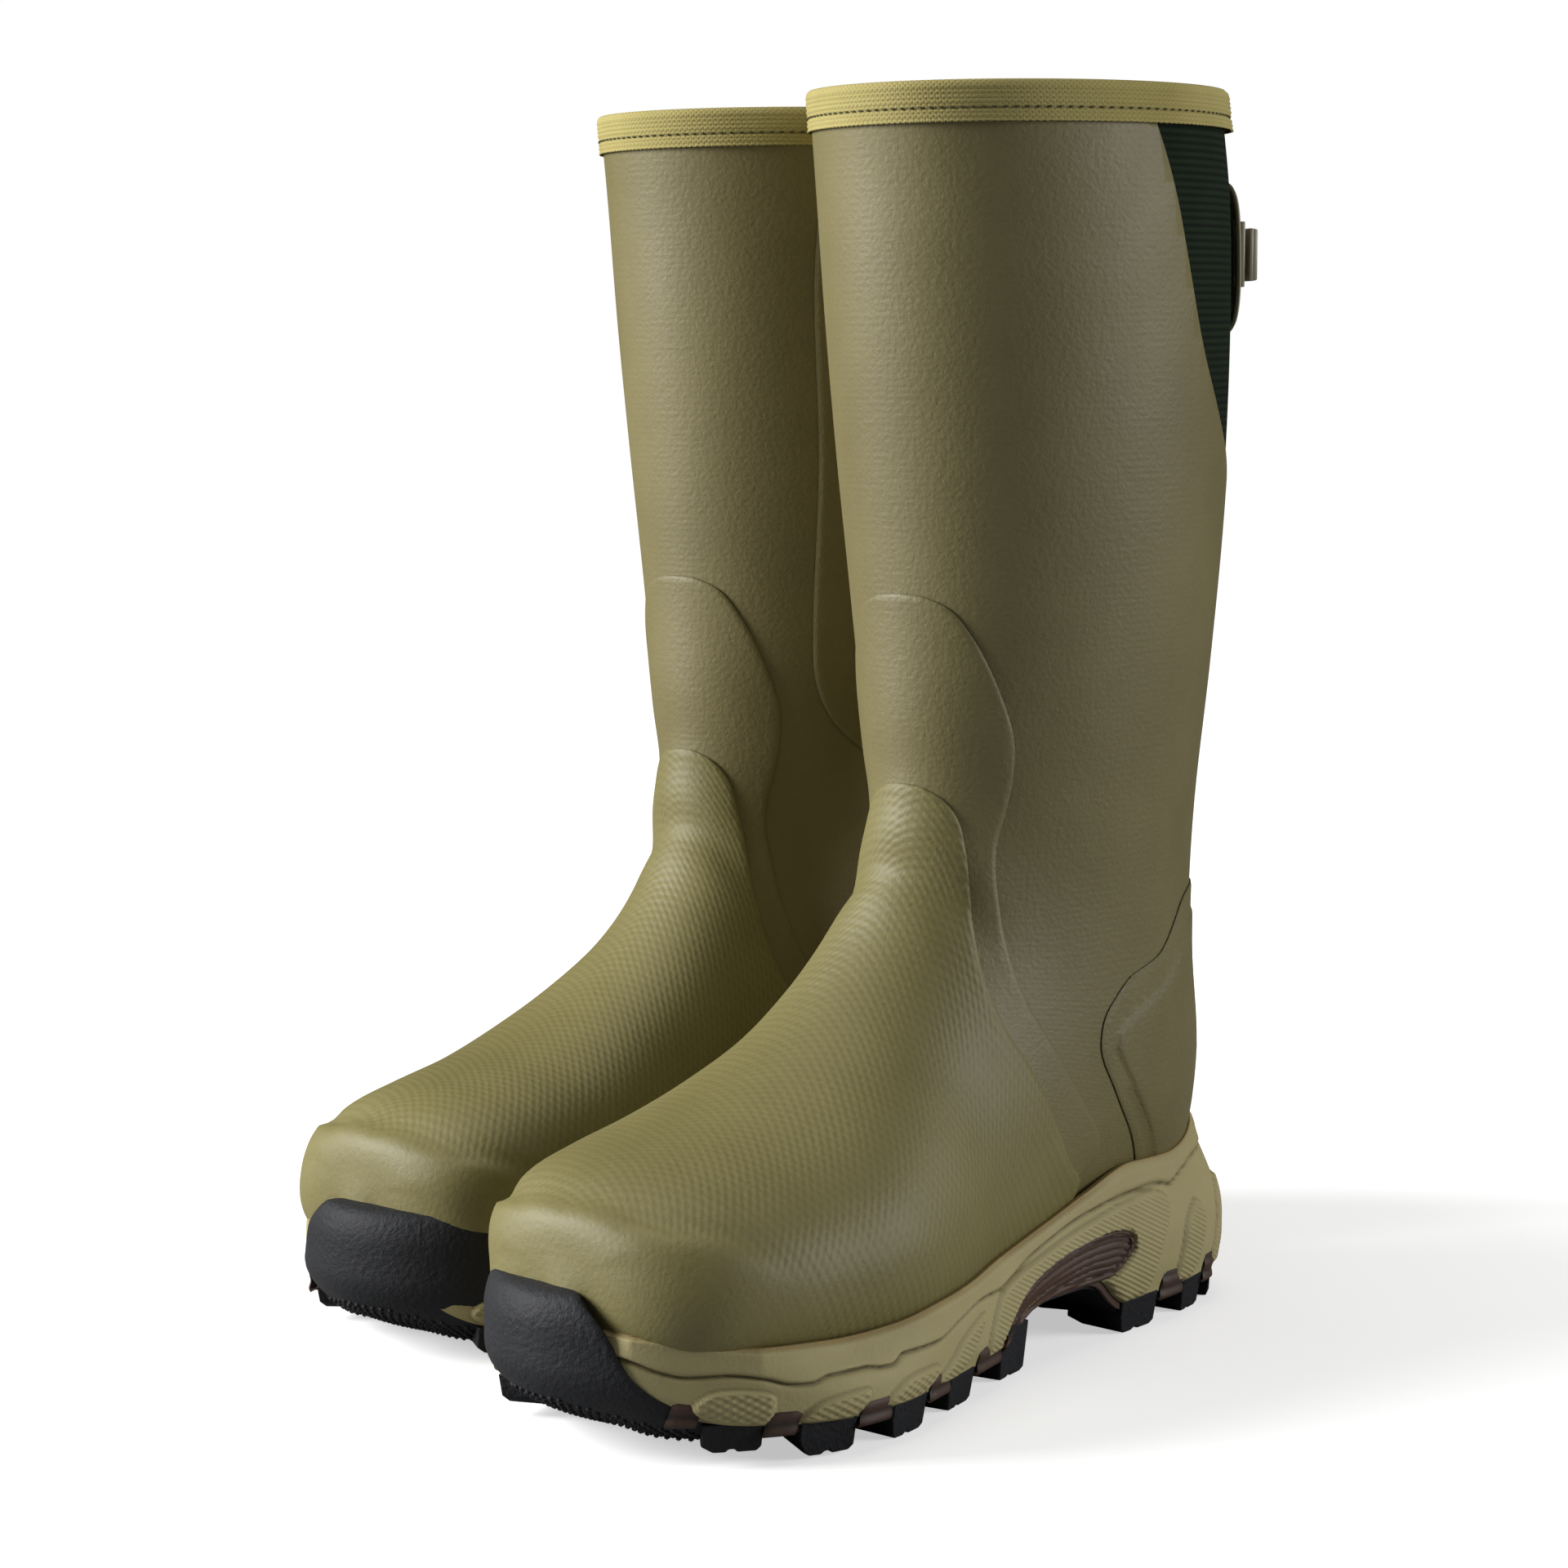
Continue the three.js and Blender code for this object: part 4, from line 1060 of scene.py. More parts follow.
@dataclass
class RimBinding:
    """Knitted tape folded over the rim, sewn on with one row of stitches."""

    form: BootForm
    low: float = 418.2
    stitch_z: float = 422.6
    dip: float = 4.2              # how much lower the rim is in front
    stitch_pitch: float = 3.1
    rib: float = 1.5
    columns: int = 760
    girth: float = 395.0          # length of the tape
    overlap: Point = (-66.0, -46.0)   # degrees where the two ends of the tape lap

    def at(self, deg: Array, distance: Array, z: Array) -> Array:
        """Points near the rim at a height, at a distance from the shell's face.

        Args:
            deg: Angles round the rim.
            distance: How far outside the shell's face.
            z: Heights before the rim's dip.

        Returns:
            One row for each point.
        """
        t = np.clip(np.interp(z, [388, 397, 430], [17.8, 18.0, 19.0]), 0, RIM_STATION)
        p = self.form.at(t, deg, distance)
        p[:, 2] = z - self.dip * (1 + np.sin(np.radians(deg))) / 2
        return p

    def build(self) -> None:
        """Builds and sets down the tape and its stitches."""
        self.tape()
        self.stitches()

    def tape(self) -> None:
        """The folded tape: ribbed outside, scalloped along its lower edge."""
        outside = [(1.25, z) for z in np.arange(self.low, 429.4, 0.36)]
        over = [(1.2, 430.0), (0.9, 430.9), (0.3, 431.5), (-2.8, 431.6), (-5.8, 431.5),
                (-7.0, 430.8), (-7.5, 429.6)]
        inside = [(-7.5, z) for z in np.arange(428.0, self.low + 2, -1.2)]
        profile = np.array([(0.4, self.low + 0.35), *outside, *over, *inside,
                            (-6.6, self.low + 2)])
        bm, around, up = grid(self.columns, len(profile) - 1)
        row = np.rint(up * (len(profile) - 1)).astype(int)
        deg = around * 360 - 90
        d, z = profile[row].T
        on_face = (row > 0) & (row <= len(outside))
        ribs = 0.17 * np.sin(2 * np.pi * (z - self.low) / self.rib)
        near_stitch = np.exp(-((z - self.stitch_z) / 0.8) ** 2)
        lap = smooth_step(self.overlap[0], self.overlap[0] + 0.5, deg) * smooth_step(
            self.overlap[1], self.overlap[1] - 0.5, deg)
        d = d + np.where(on_face, ribs - 0.35 * near_stitch,
                         0) + np.where(row <= len(outside) + 3, 0.9 * lap, 0)
        length = around * self.girth
        scallop = 0.28 * np.abs(np.sin(np.pi * length / 2.0))
        z = np.where(row <= 2, z - scallop, z)
        places = self.at(deg, d, z)
        walk = lengths_along(profile)
        write_uv(bm, np.stack([length, walk[row]], axis=1))
        # Painted shade under the tape's lower edge, along the stitch line and in the rib hollows.
        write_mask(bm, "crease", np.where(row <= 1, 0.75, 0.15 * near_stitch * on_face
                                          + 0.25 * (ribs < -0.1) * on_face))
        move_to(bm, places)
        bmesh.ops.remove_doubles(bm, verts=bm.verts[:], dist=0.02)
        centre = np.array([0, -107.0, 0])
        face_out(bm, lambda m: (m - centre) * np.where(m[:, 2:] < 430.5, np.sign(
            np.linalg.norm((m - centre)[:, :2] / np.array([66, 85]), axis=1) - 0.96)[:, None], 0))
        set_down(bm, PieceSpec("binding", BINDING_TAPE, "binding_tape", ("rim_binding",), wall=0.5,
                               sharp=75))

    def stitches(self) -> None:
        """One row of short stitches round the tape."""
        bm = bmesh.new()
        count = int(self.girth / self.stitch_pitch)
        for k in range(count):
            deg = np.array([k * 360.0 / count - 90.0])
            here = Vector(self.at(deg, np.array([1.15]), np.array([self.stitch_z]))[0])
            ahead = Vector(self.at(deg + 0.5, np.array([1.15]), np.array([self.stitch_z]))[0])
            along = (ahead - here).normalized()
            basis = Matrix((along, along.cross(UP), UP)).transposed().to_4x4()
            size = Matrix.Diagonal((1.05, 0.32, 0.36, 1))
            bmesh.ops.create_icosphere(bm, subdivisions=1, radius=1.0,
                                       matrix=Matrix.Translation(here) @ basis @ size)
        set_down(bm, PieceSpec("binding_stitches", STITCH_THREAD, "binding_tape", ()))


# ---- sole ---------------------------------------------------------------------------------
@dataclass
class SoleForm:
    """Plan outline of the sole and the way walls stand on it."""

    outline: tuple[Point, ...] = (
        (0, -10), (22, -15), (36, -31), (42.5, -54), (45, -90), (45.5, -130), (47, -157),
        (50.5, -176), (58.5, -210), (65, -245), (63, -272), (53, -294), (38, -314), (20, -329),
        (-6, -337), (-30, -332), (-48, -317), (-57, -294), (-60, -262), (-58, -225),
        (-52, -184), (-44.5, -140), (-44, -95), (-42, -58), (-35, -31), (-21, -15))
    # height of the foam's ledge round the upper, at each y
    top: tuple[Point, ...] = (
        (-340, 44), (-322, 41), (-304, 37.5), (-281, 35.5), (-264, 34.5), (-243, 35.5),
        (-224, 38), (-208, 39), (-170, 42.5), (-144, 48), (-119, 54.5), (-104, 58), (-92, 59.3),
        (-78, 58.6), (-62, 58), (-46, 60), (-30, 64.5), (-10, 70))
    # height of the foam's lower edge
    bottom: tuple[Point, ...] = (
        (-340, 33), (-334, 31), (-328, 26), (-322, 20), (-315, 16), (-308, 14), (-297, 12.8),
        (-280, 12), (-240, 11.6), (-185, 11.8), (-174, 13), (-166, 17.5), (-156, 21.5),
        (-140, 24.3), (-122, 24.3), (-112, 21.5), (-105, 15), (-99, 11.8), (-10, 11.8))
    arc: Array = field(init=False)
    loop: Array = field(init=False)
    length: float = field(init=False)
    toe: float = field(init=False)    # length from the heel to the toe tip

    def __post_init__(self) -> None:
        """Measures the outline."""
        pts = curve(self.outline, per=80, closed=True)
        loop = np.concatenate([pts, pts[:1]])
        self.arc = lengths_along(loop)
        self.length = float(self.arc[-1])
        self.loop = loop
        self.toe = float(self.arc[loop[:, 1].argmin()])

    def read(self, s: Array) -> list[Array]:
        """The outline's x and y at lengths from the heel, which may run past its end."""
        return [np.interp(np.mod(s, self.length), self.arc, self.loop[:, k]) for k in range(2)]

    def plan(self, s: Array) -> tuple[Array, Array]:
        """Outline points at lengths from the heel, and their outward directions.

        Args:
            s: Lengths round the sole.

        Returns:
            Points and directions, two columns each.
        """
        s = np.mod(s, self.length)
        x, y = self.read(s)
        dx, dy = (a - b for a, b in zip(self.read(s + 1.0), self.read(s - 1.0)))
        size = np.hypot(dx, dy)
        return np.stack([x, y], axis=1), np.stack([-dy / size, dx / size], axis=1)

    def at(self, s: Array, inset: Array, z: Array) -> Array:
        """Points at lengths round the sole, moved inwards, at heights.

        Args:
            s: Lengths round the sole.
            inset: How far inside the outline.
            z: Heights.

        Returns:
            One row for each point.
        """
        p, out = self.plan(s)
        p = p - out * np.reshape(inset, (-1, 1))
        return np.column_stack([p, np.broadcast_to(z, len(p))])

    def arc_at(self, y: float, outer: bool = True) -> float:
        """Length from the heel where the edge passes a y.

        Args:
            y: Place along the sole.
            outer: Whether on the outer edge, or else on the inner one.

        Returns:
            The length round the sole.
        """
        half = self.arc <= self.toe
        use = half if outer else ~half
        ys, ss = self.loop[use, 1], self.arc[use]
        order = np.argsort(ys)
        return float(np.interp(y, ys[order], ss[order]))


PADS = (   # raised pads on the midsole's wall (y, z), and whether they are hatched or ribbed
    (((-315, 19), (-311, 24), (-301, 24.3), (-294.5, 21.8), (-297, 13.2), (-304, 13.4),
      (-311, 15.5)), "hatch"),
    (((-287, 13.6), (-282, 18), (-272, 20), (-263, 19.6), (-268.5, 12.4), (-280, 12.2)), "hatch"),
    (((-256, 13.6), (-247, 19), (-237, 20), (-226, 18.8), (-235.5, 12.2), (-250, 12)), "hatch"),
    (((-226, 13.6), (-217, 18.5), (-209, 23.3), (-192, 28), (-203, 17), (-211, 12.3), (-220, 12)),
     "ribs"),
    (((-189, 13), (-180, 29.5), (-153, 37.5), (-123, 44), (-96, 47.3), (-77, 47), (-70.5, 43),
      (-78, 29), (-88, 12.5), (-106, 12.5), (-113, 22), (-140, 24), (-166, 17),
      (-178, 12)), "ribs"),
    (((-67, 12.5), (-63.5, 26), (-60, 34), (-51, 39.5), (-46, 35), (-50, 22), (-57, 12.4)),
     "ribs"),
    (((-38, 13), (-33, 28), (-30, 38), (-20, 43), (-16, 36), (-20, 13)), "ribs"),
)
GROOVE = ((-340, 36.5), (-329, 35), (-322, 31), (-316, 29.3), (-308, 29.5), (-297, 27.5),
          (-291, 25.3), (-284, 24.6), (-277, 26), (-263, 26), (-256, 25), (-251, 24.8),
          (-244, 27), (-226, 26.8), (-211, 29.8), (-197, 32.6), (-189, 32.8), (-181, 32.5),
          (-154, 40), (-128, 46.6), (-109, 49.2), (-90, 50), (-74, 49.5), (-66, 48), (-58, 50),
          (-44, 53.5), (-10, 56))
LEAF = ((-178, 14.5), (-170, 23), (-158, 30), (-142, 35), (-122, 38.2), (-106, 38.6), (-96.5, 36),
        (-95.5, 31), (-101, 26.5), (-110, 22.6), (-122, 22.4), (-140, 22.6), (-156, 19.6),
        (-166, 15.4), (-174, 11.5))


def from_middle(places: Array) -> Array:
    """Directions from the sole's middle to places on its wall."""
    return (places - np.array([0, -180.0, 0])) * np.array([1, 0.4, 0])


@dataclass
class Sole:
    """Midsole, arch shank, toe bumper, tread base and lugs."""

    form: BootForm
    plan: SoleForm
    columns: int = 760
    wall_rows: int = 46
    ledge: float = 52.5          # height where the bumper's top turns in against the toe cap
    # edge lugs from heel to toe: range of y, lift of the tread
    lugs: tuple[tuple[float, float, float], ...] = (
        (-36, -20, 0), (-61, -46, 0), (-101, -78, 0), (-176, -157, 0), (-215, -197, 0),
        (-251, -231, 0), (-287, -267, 1.0), (-313, -297, 4.5))
    # middle lugs: x and y of the centre, half width and half length
    middle: tuple[tuple[float, float, float, float], ...] = (
        (0, -24, 9, 6), (0, -50, 11, 7), (0, -82, 12, 8), (2, -168, 12, 7), (3, -192, 14, 7),
        (3, -216, 16, 7), (2, -240, 17, 7), (0, -264, 16, 7), (-2, -287, 14, 6))
    edge_width: float = 2.8      # width of the ledge round the upper
    least_edge: float = 0.3
    flare: float = 1.3           # how far the wall's foot turns under
    seat_line: tuple[Array, Array] = field(init=False)

    def build(self) -> None:
        """Builds and sets down all pieces of the sole."""
        self.midsole()
        self.shank()
        self.bumper()
        self.tread_base()
        self.outsole()

    def seat(self, s: Array, z: Array) -> Array:
        """How far inside the outline the upper's face is at each place.

        Args:
            s: Lengths round the sole.
            z: Heights.

        Returns:
            Insets, evened out over a few neighbours.
        """
        columns, rows, far = 90, 140, 40.0
        deg, t = np.meshgrid(np.linspace(-180, 180, columns + 1), np.linspace(0, 14, rows + 1))
        cover = 0.6 + 1.9 * smooth_step(10.2, 9.4, t.ravel())   # layers over the shell
        cloud = self.form.at(t.ravel(), deg.ravel(), cover).reshape(*t.shape, 3)
        bm, across, up = grid(columns, rows)
        move_to(bm, cloud[np.rint(up * rows).astype(int), np.rint(across * columns).astype(int)])
        tree = BVHTree.FromBMesh(bm)
        bm.free()
        p, out = self.plan.plan(s)
        found = []
        for (x, y), (ox, oy), height in zip(p, out, z):
            start = Vector((x + far * ox, y + far * oy, height))
            hit = tree.ray_cast(start, Vector((-ox, -oy, 0)))
            found.append(hit[3] - far if hit[0] else np.nan)
        found = np.array(found)
        good = ~np.isnan(found)
        found = np.interp(s, s[good], found[good])
        kernel = np.ones(9) / 9
        return np.convolve(np.concatenate([found[-4:], found, found[:4]]), kernel, mode="valid")

    def relief(self, y: Array, z: Array) -> tuple[Array, dict[str, Array]]:
        """Relief of the midsole's wall in millimetres, and where its marks are.

        Args:
            y: Places along the sole.
            z: Heights.

        Returns:
            The height of the relief, and the masks of painted crease shade, hatching and ribs.
        """
        groove = table(GROOVE, y)
        gap = z - groove
        height = 0.75 * smooth_step(-0.4, 1.2, gap) - 1.15 * np.exp(-(gap / 0.75) ** 2)
        # Painted shade along the groove, round the pads and in the sunken arch window.
        marks = {"crease": 0.85 * np.exp(-(gap / 0.6) ** 2), "hatch": np.zeros(len(y)),
                 "ribs": np.zeros(len(y))}
        here = np.stack([y, z], axis=1)
        for corners, style in PADS:
            inside = distance_inside(here, curve(corners, per=4, closed=True))
            height += 1.5 * smooth_step(-0.5, 0.7, inside)
            marks[style] = np.maximum(marks[style], smooth_step(0.6, 1.4, inside))
            marks["crease"] = np.maximum(marks["crease"],
                                         0.45 * np.exp(-((inside + 0.6) / 0.5) ** 2))
        leaf = distance_inside(here, curve(LEAF, per=4, closed=True))
        height -= 3.0 * smooth_step(-0.4, 0.5, leaf)
        marks["crease"] = np.maximum(marks["crease"], 0.8 * smooth_step(-0.5, 0.2, leaf))
        return height, marks

    def midsole(self) -> None:
        """Sculpted foam wall with its ledge, grooves and pads."""
        inner_rows = 5
        rows = self.wall_rows + inner_rows
        bm, around, up = grid(self.columns, rows)
        row = np.rint(up * rows).astype(int)
        column = np.rint(around * self.columns).astype(int)
        s = np.linspace(0, self.plan.length, self.columns + 1)
        p, _ = self.plan.plan(s)
        y = p[:, 1]
        low, high = table(self.plan.bottom, y), table(self.plan.top, y)
        seat = self.seat(s, high)
        self.seat_line = (s, seat)
        f = np.clip((row - 1) / (self.wall_rows - 1), 0, 1)
        z = low[column] + (high - low)[column] * f
        edge = np.maximum(seat - self.edge_width, self.least_edge)[column]
        inset = self.plain_wall(f, edge)
        height, marks = self.relief(y[column], z)
        soften = smooth_step(0.0, 0.05, f) * smooth_step(1.0, 0.93, f)
        inset = inset - height * soften + 1.0 * smooth_step(0.95, 1.0, f)
        k = row - self.wall_rows
        turn_in = [k == 1, k == 2, k == 3, k == 4, k >= 5]
        inside = np.select(turn_in, [0.9, 2.6, 5.2, 5.6, 6.0], 0.0)
        drop = np.select(turn_in, [-0.35, -0.2, 1.6, 6.0, 12.0], 0.0)
        inset = np.where(k > 0, edge + inside, inset)
        z = np.where(k > 0, np.maximum(high[column] - drop, 25.5), z)
        inset = np.where(row == 0, 9.0, inset)
        z = np.where(row == 0, low[column], z)
        write_uv(bm, np.stack([s[column], z], axis=1))
        marks["edge"] = smooth_step(1.1, 0.2, np.abs(high[column] - z)) * (k <= 2) * 0.6
        for name, values in marks.items():
            write_mask(bm, name, values * ((row > 0) & (k <= 0)) if name != "edge" else values)
        move_to(bm, self.plan.at(s[column], inset, z))
        bmesh.ops.remove_doubles(bm, verts=bm.verts[:], dist=0.01)
        bmesh.ops.holes_fill(bm, edges=[e for e in bm.edges if e.is_boundary])
        bmesh.ops.recalc_face_normals(bm, faces=bm.faces[:])
        set_down(bm, PieceSpec("midsole_wall", MIDSOLE_FOAM, "midsole_foam", ("midsole",),
                               sharp=60))

    def wall_patch(self, outline: Array, rings: Sequence[EdgeRing], cell: Point,
                   lay: Callable[[Array, Array, Array], Array]) -> BMesh:
        """Flat outline (length round the sole, height) cut to a fine net and bent on the wall.

        Args:
            outline: Corners of the outline.
            rings: Rings of its edge.
            cell: Size of the net.
            lay: Gives places from lengths, heights and relief.

        Returns:
            The bent sheet.
        """
        bm, rise = cut_net(outline, rings, cell)
        at = spots(bm)
        write_uv(bm, at[:, :2])
        move_to(bm, lay(at[:, 0], at[:, 1], rise))
        face_out(bm, from_middle)
        return bm

    def plain_wall(self, f: Array, edge: Array) -> Array:
        """Inset of the midsole's wall without its relief.

        Args:
            f: Share of the wall's height, from 0 to 1.
            edge: Inset at the top.

        Returns:
            Inset in millimetres.
        """
        foot = self.flare * (1 - smooth_step(0, 0.22, f))
        return foot + edge * smooth_step(0.3, 1.0, f) ** 1.3

    def wall_inset(self, s: Array, z: Array) -> Array:
        """Inset of the midsole's plain wall.

        Args:
            s: Lengths round the sole.
            z: Heights.

        Returns:
            Inset in millimetres.
        """
        y = self.plan.plan(s)[0][:, 1]
        low, high = table(self.plan.bottom, y), table(self.plan.top, y)
        f = np.clip((z - low) / (high - low), 0, 1)
        seat = np.interp(s, *self.seat_line)
        return self.plain_wall(f, np.maximum(seat - self.edge_width, self.least_edge))

    def shank(self) -> None:
        """Brown leaves in the arch windows and the plate that joins them under the arch."""
        whole = bmesh.new()
        # The rings carry painted shade round the leaf's sunken border.
        rings = (EdgeRing(0, -2.6, 0.9), EdgeRing(0.3, -0.4, 0.3), EdgeRing(0.7, 0.0),
                 EdgeRing(1.0, -0.1),
                 EdgeRing(0.5, -0.9, 0.4), EdgeRing(1.0, -0.9))
        for outer in (True, False):
            corners = curve(LEAF, per=4, closed=True)
            arcs = np.array([self.plan.arc_at(y, outer) for y in corners[:, 0]])
            outline = np.stack([arcs, corners[:, 1]], axis=1)

            def lay(s: Array, z: Array, rise: Array) -> Array:
                """Places in the arch window, with grooves that follow its upper edge."""
                depth = table(LEAF[1:7], self.plan.plan(s)[0][:, 1]) - z
                groove = 0.55 * np.exp(-((np.mod(depth, 2.6) - 1.3) / 0.35) ** 2)
                return self.plan.at(s, self.wall_inset(s, z) - rise - 0.6 + groove, z)

            part = self.wall_patch(outline, rings, (2.0, 0.45), lay)
            thicken(part, 2.0)
            append(whole, part)
        plate = self.slab(lambda y: table(self.plan.bottom, y) + 0.6, 3.0, 2.2, (-178, -100))
        append(whole, plate)
        set_down(whole, PieceSpec("arch_leaves", BROWN_RUBBER, "brown_rubber", ("arch_shank",)))

    def slab(self, height: Callable[[Array], Array], thick: float, inset: float,
             reach: Point = (-400, 0), rows: int = 150) -> BMesh:
        """Sheet that fills the sole's outline between two y, thickened downwards.

        Args:
            height: Top height at each y.
            thick: Thickness.
            inset: Distance inside the outline.
            reach: Lowest and highest y.
            rows: Cells along the sole.

        Returns:
            The closed slab.
        """
        bm, across, along = grid(12, rows)
        first = self.plan.arc_at(min(reach[1], -10.001))
        last = self.plan.arc_at(max(reach[0], -336.99))
        s = first + (last - first) * along
        outer, _ = self.plan.plan(s)
        rim = self.plan.at(s, np.full(len(s), inset), 0.0)[:, :2]
        other = np.array([self.plan.arc_at(y, False) for y in outer[:, 1]])
        far = self.plan.at(other, np.full(len(s), inset), 0.0)[:, :2]
        p = rim + (far - rim) * across[:, None]
        places = np.column_stack([p, height(p[:, 1])])
        write_uv(bm, p)
        move_to(bm, places)
        bmesh.ops.remove_doubles(bm, verts=bm.verts[:], dist=0.02)
        face_out(bm, lambda m: np.tile([0.0, 0.0, 1.0], (len(m), 1)))
        thicken(bm, thick)
        return bm

    def bumper_place(self, s: Array, z: Array, rise: Array) -> Array:
        """Places on the rounded toe bumper.

        Args:
            s: Lengths past the toe tip.
            z: Heights.
            rise: Heights over the plain surface.

        Returns:
            One row for each place.
        """
        front = 1 / (1 + ((s - 4) / 42) ** 4)
        ledge = np.maximum(z - self.ledge, 0)
        low = table(((5, 34), (7, 28), (9, 22.5), (12, 15.5), (16, 8.5), (20, 3.6), (24, 0.4),
                     (30, -1.4), (42, -1.4), (50, 0.6), (52.5, 2.2)), z)
        side = np.interp(z, [3, 6, 9, 13, 18, 24, 42, 50, 52.5],
                         [12, 7, 4, 1.4, -0.4, -1.2, -1.2, 0.6, 2.2])
        height = np.minimum(z, self.ledge) + 1.2 * (1 - np.exp(-ledge / 2))
        return self.plan.at(s + self.plan.toe, front * low + (1 - front) * side + ledge - rise,
                            height)

    def bumper(self) -> None:
        """Rubber bumper round the toe with nubs under it."""
        # lengths are negative on the outer side, because the outline runs from there to the tip
        corners = ((66, 8.2), (66, 14), (57, 17.5), (48, 19.8), (41, 22.5), (36, 26), (32, 30.5),
                   (29, 35.5), (26.5, 40), (23.5, 44.5), (19, 49), (13, 54), (4, 58),
                   (-8, 60.5), (-30, 60.5), (-46, 56), (-54, 49.5), (-58, 43), (-61, 36),
                   (-65, 29), (-71, 23), (-79, 18.5), (-88, 15), (-90, 8.2), (-60, 6.6),
                   (-30, 6.2), (0, 6.0), (30, 6.2), (50, 6.8))
        outline = curve([(-a, z) for a, z in corners], per=4, closed=True)
        # The outer ring carries painted shade along the bumper's edge.
        rings = (EdgeRing(0, -1.6, 0.6), EdgeRing(0.4, -0.3), EdgeRing(0.9, 0.2),
                 EdgeRing(1.2, 0.3))
        bm = self.wall_patch(outline, rings, (2.6, 2.2), self.bumper_place)
        thicken(bm, 3.0)
        nubs = bmesh.new()
        for row, z in enumerate((7.4, 8.6, 9.9, 11.3, 12.9, 14.6, 16.5, 18.6)):
            for k in range(-19, 16):
                a = (k + 0.5 * (row % 2)) * 4.0
                if not -76 < a < 56 or z > 10.5 + 9.5 * math.exp(-((a + 6) / 38) ** 2):
                    continue
                base = self.bumper_place(np.array([-a]), np.array([z]), np.array([0.35]))[0]
                bmesh.ops.create_icosphere(nubs, subdivisions=1, radius=1.1,
                                           matrix=Matrix.Translation(Vector(base)))
        append(bm, nubs)
        set_down(bm, PieceSpec("toe_guard", BLACK_RUBBER, "black_rubber", ("toe_bumper",)))

    def tread_base(self) -> None:
        """Brown layer between foam and tread; it shows as short inserts between the lugs."""
        bm = self.slab(lambda y: table(self.plan.bottom, y) + 0.8, 3.4, 2.4, (-306, 0))
        edges = sorted((lo, hi) for lo, hi, _ in self.lugs)
        gaps = [(a[1], b[0]) for a, b in zip(edges, edges[1:]) if b[0] - a[1] < 30]
        for outer in (True, False):
            for start, end in [*gaps, (-320, -313)] if outer else gaps:
                append(bm, self.insert(start - 0.6, end + 0.6, outer))
        set_down(bm, PieceSpec("tread_inserts", BROWN_RUBBER, "brown_rubber", ("tread_base",)))

    def insert(self, start: float, end: float, outer: bool) -> BMesh:
        """One grooved brown block let into the wall between two lugs.

        Args:
            start: Its y nearest the toe.
            end: Its y nearest the heel.
            outer: Whether it is on the outer edge.

        Returns:
            The closed block.
        """
        a, b = self.plan.arc_at(start, outer), self.plan.arc_at(end, outer)
        y = (start + end) / 2
        low = float(table(self.plan.bottom, np.array([y]))[0])
        bm, across, up = grid(6, 14)
        z = low - 3.2 + up * 9.6
        s = a + (b - a) * (0.5 + (across - 0.5) * 0.84) - 3.4 * (up - 0.5) * (1 if outer else -1)
        rib = 0.28 * np.sin(up * 14 * np.pi / 3.5)
        rim = (np.minimum.reduce([across, 1 - across, up, 1 - up]) < 0.02) * 0.5
        write_uv(bm, np.stack([s, z], axis=1))
        # Painted shade in the rib grooves and round the block's border.
        write_mask(bm, "crease", np.clip(-rib * 2.0, 0, 0.6) + rim)
        move_to(bm, self.plan.at(s, -0.1 - rib + rim, z))
        face_out(bm, from_middle)
        thicken(bm, 5.0)
        return bm

    def outsole(self) -> None:
        """Black tread: thin film, edge lugs with notches and a middle row."""
        bm = self.slab(lambda y: table(self.plan.bottom, y) - 2.6, 1.2, 3.6, (-304, 0))
        for low, high, lift in self.lugs:
            for outer in (True, False):
                append(bm, self.edge_lug(low, high, lift, outer))
        for x, y, a, b in self.middle:
            append(bm, self.middle_lug(x, y, a, b))
        set_down(bm, PieceSpec("tread", BLACK_RUBBER, "black_rubber", ("outsole",), sharp=30))

    def edge_lug(self, low: float, high: float, lift: float, outer: bool) -> BMesh:
        """One edge lug: notched and chamfered face, drawn inwards and thinned.

        Args:
            low: Its y nearest the toe.
            high: Its y nearest the heel.
            lift: Height of its tread above the ground.
            outer: Whether it is on the outer edge.

        Returns:
            The bevelled lug.
        """
        start, end = self.plan.arc_at(high, outer), self.plan.arc_at(low, outer)
        width = abs(end - start)
        top = float(table(self.plan.bottom, np.array([(low + high) / 2]))[0]) + 0.6
        face_line = ((0.02, top), (0.98, top), (1.0, 7.0), (0.9, lift + 1.2), (0.8, lift),
                     (0.6, lift), (0.55, lift + 1.1), (0.46, lift + 1.1), (0.41, lift),
                     (0.1, lift), (0.03, lift + 1.6))
        bm = bmesh.new()
        face = bm.faces.new([bm.verts.new((a * width, 0, z)) for a, z in face_line])
        deep = 27 if low > -110 else 31
        for depth, squeeze, raise_by in ((2.0, 1.0, 0.0), (deep * 0.6, 0.86, 0.0),
                                         (deep * 0.4 - 2, 0.55, 1.0)):
            out = bmesh.ops.extrude_face_region(bm, geom=[face])
            face = next(g for g in out["geom"] if isinstance(g, bmesh.types.BMFace))
            for v in face.verts:
                v.co.y += depth
                v.co.x = width / 2 + (v.co.x - width / 2) * squeeze
                v.co.z += raise_by if v.co.z < top - 1 else 0
        bmesh.ops.holes_fill(bm, edges=[e for e in bm.edges if e.is_boundary])
        bmesh.ops.recalc_face_normals(bm, faces=bm.faces[:])
        bmesh.ops.bevel(bm, geom=bm.edges[:], offset=0.35, segments=1, **BEVEL)
        at = spots(bm)
        slope = np.interp(at[:, 2], [lift, lift + 2.4, 8.0, top], [3.6, 2.4, 1.4, 0.9])
        s = start + at[:, 0] * math.copysign(1.0, end - start)
        move_to(bm, self.plan.at(s, at[:, 1] + slope, at[:, 2]))
        write_uv(bm, at[:, [0, 2]])
        bmesh.ops.recalc_face_normals(bm, faces=bm.faces[:])
        return bm

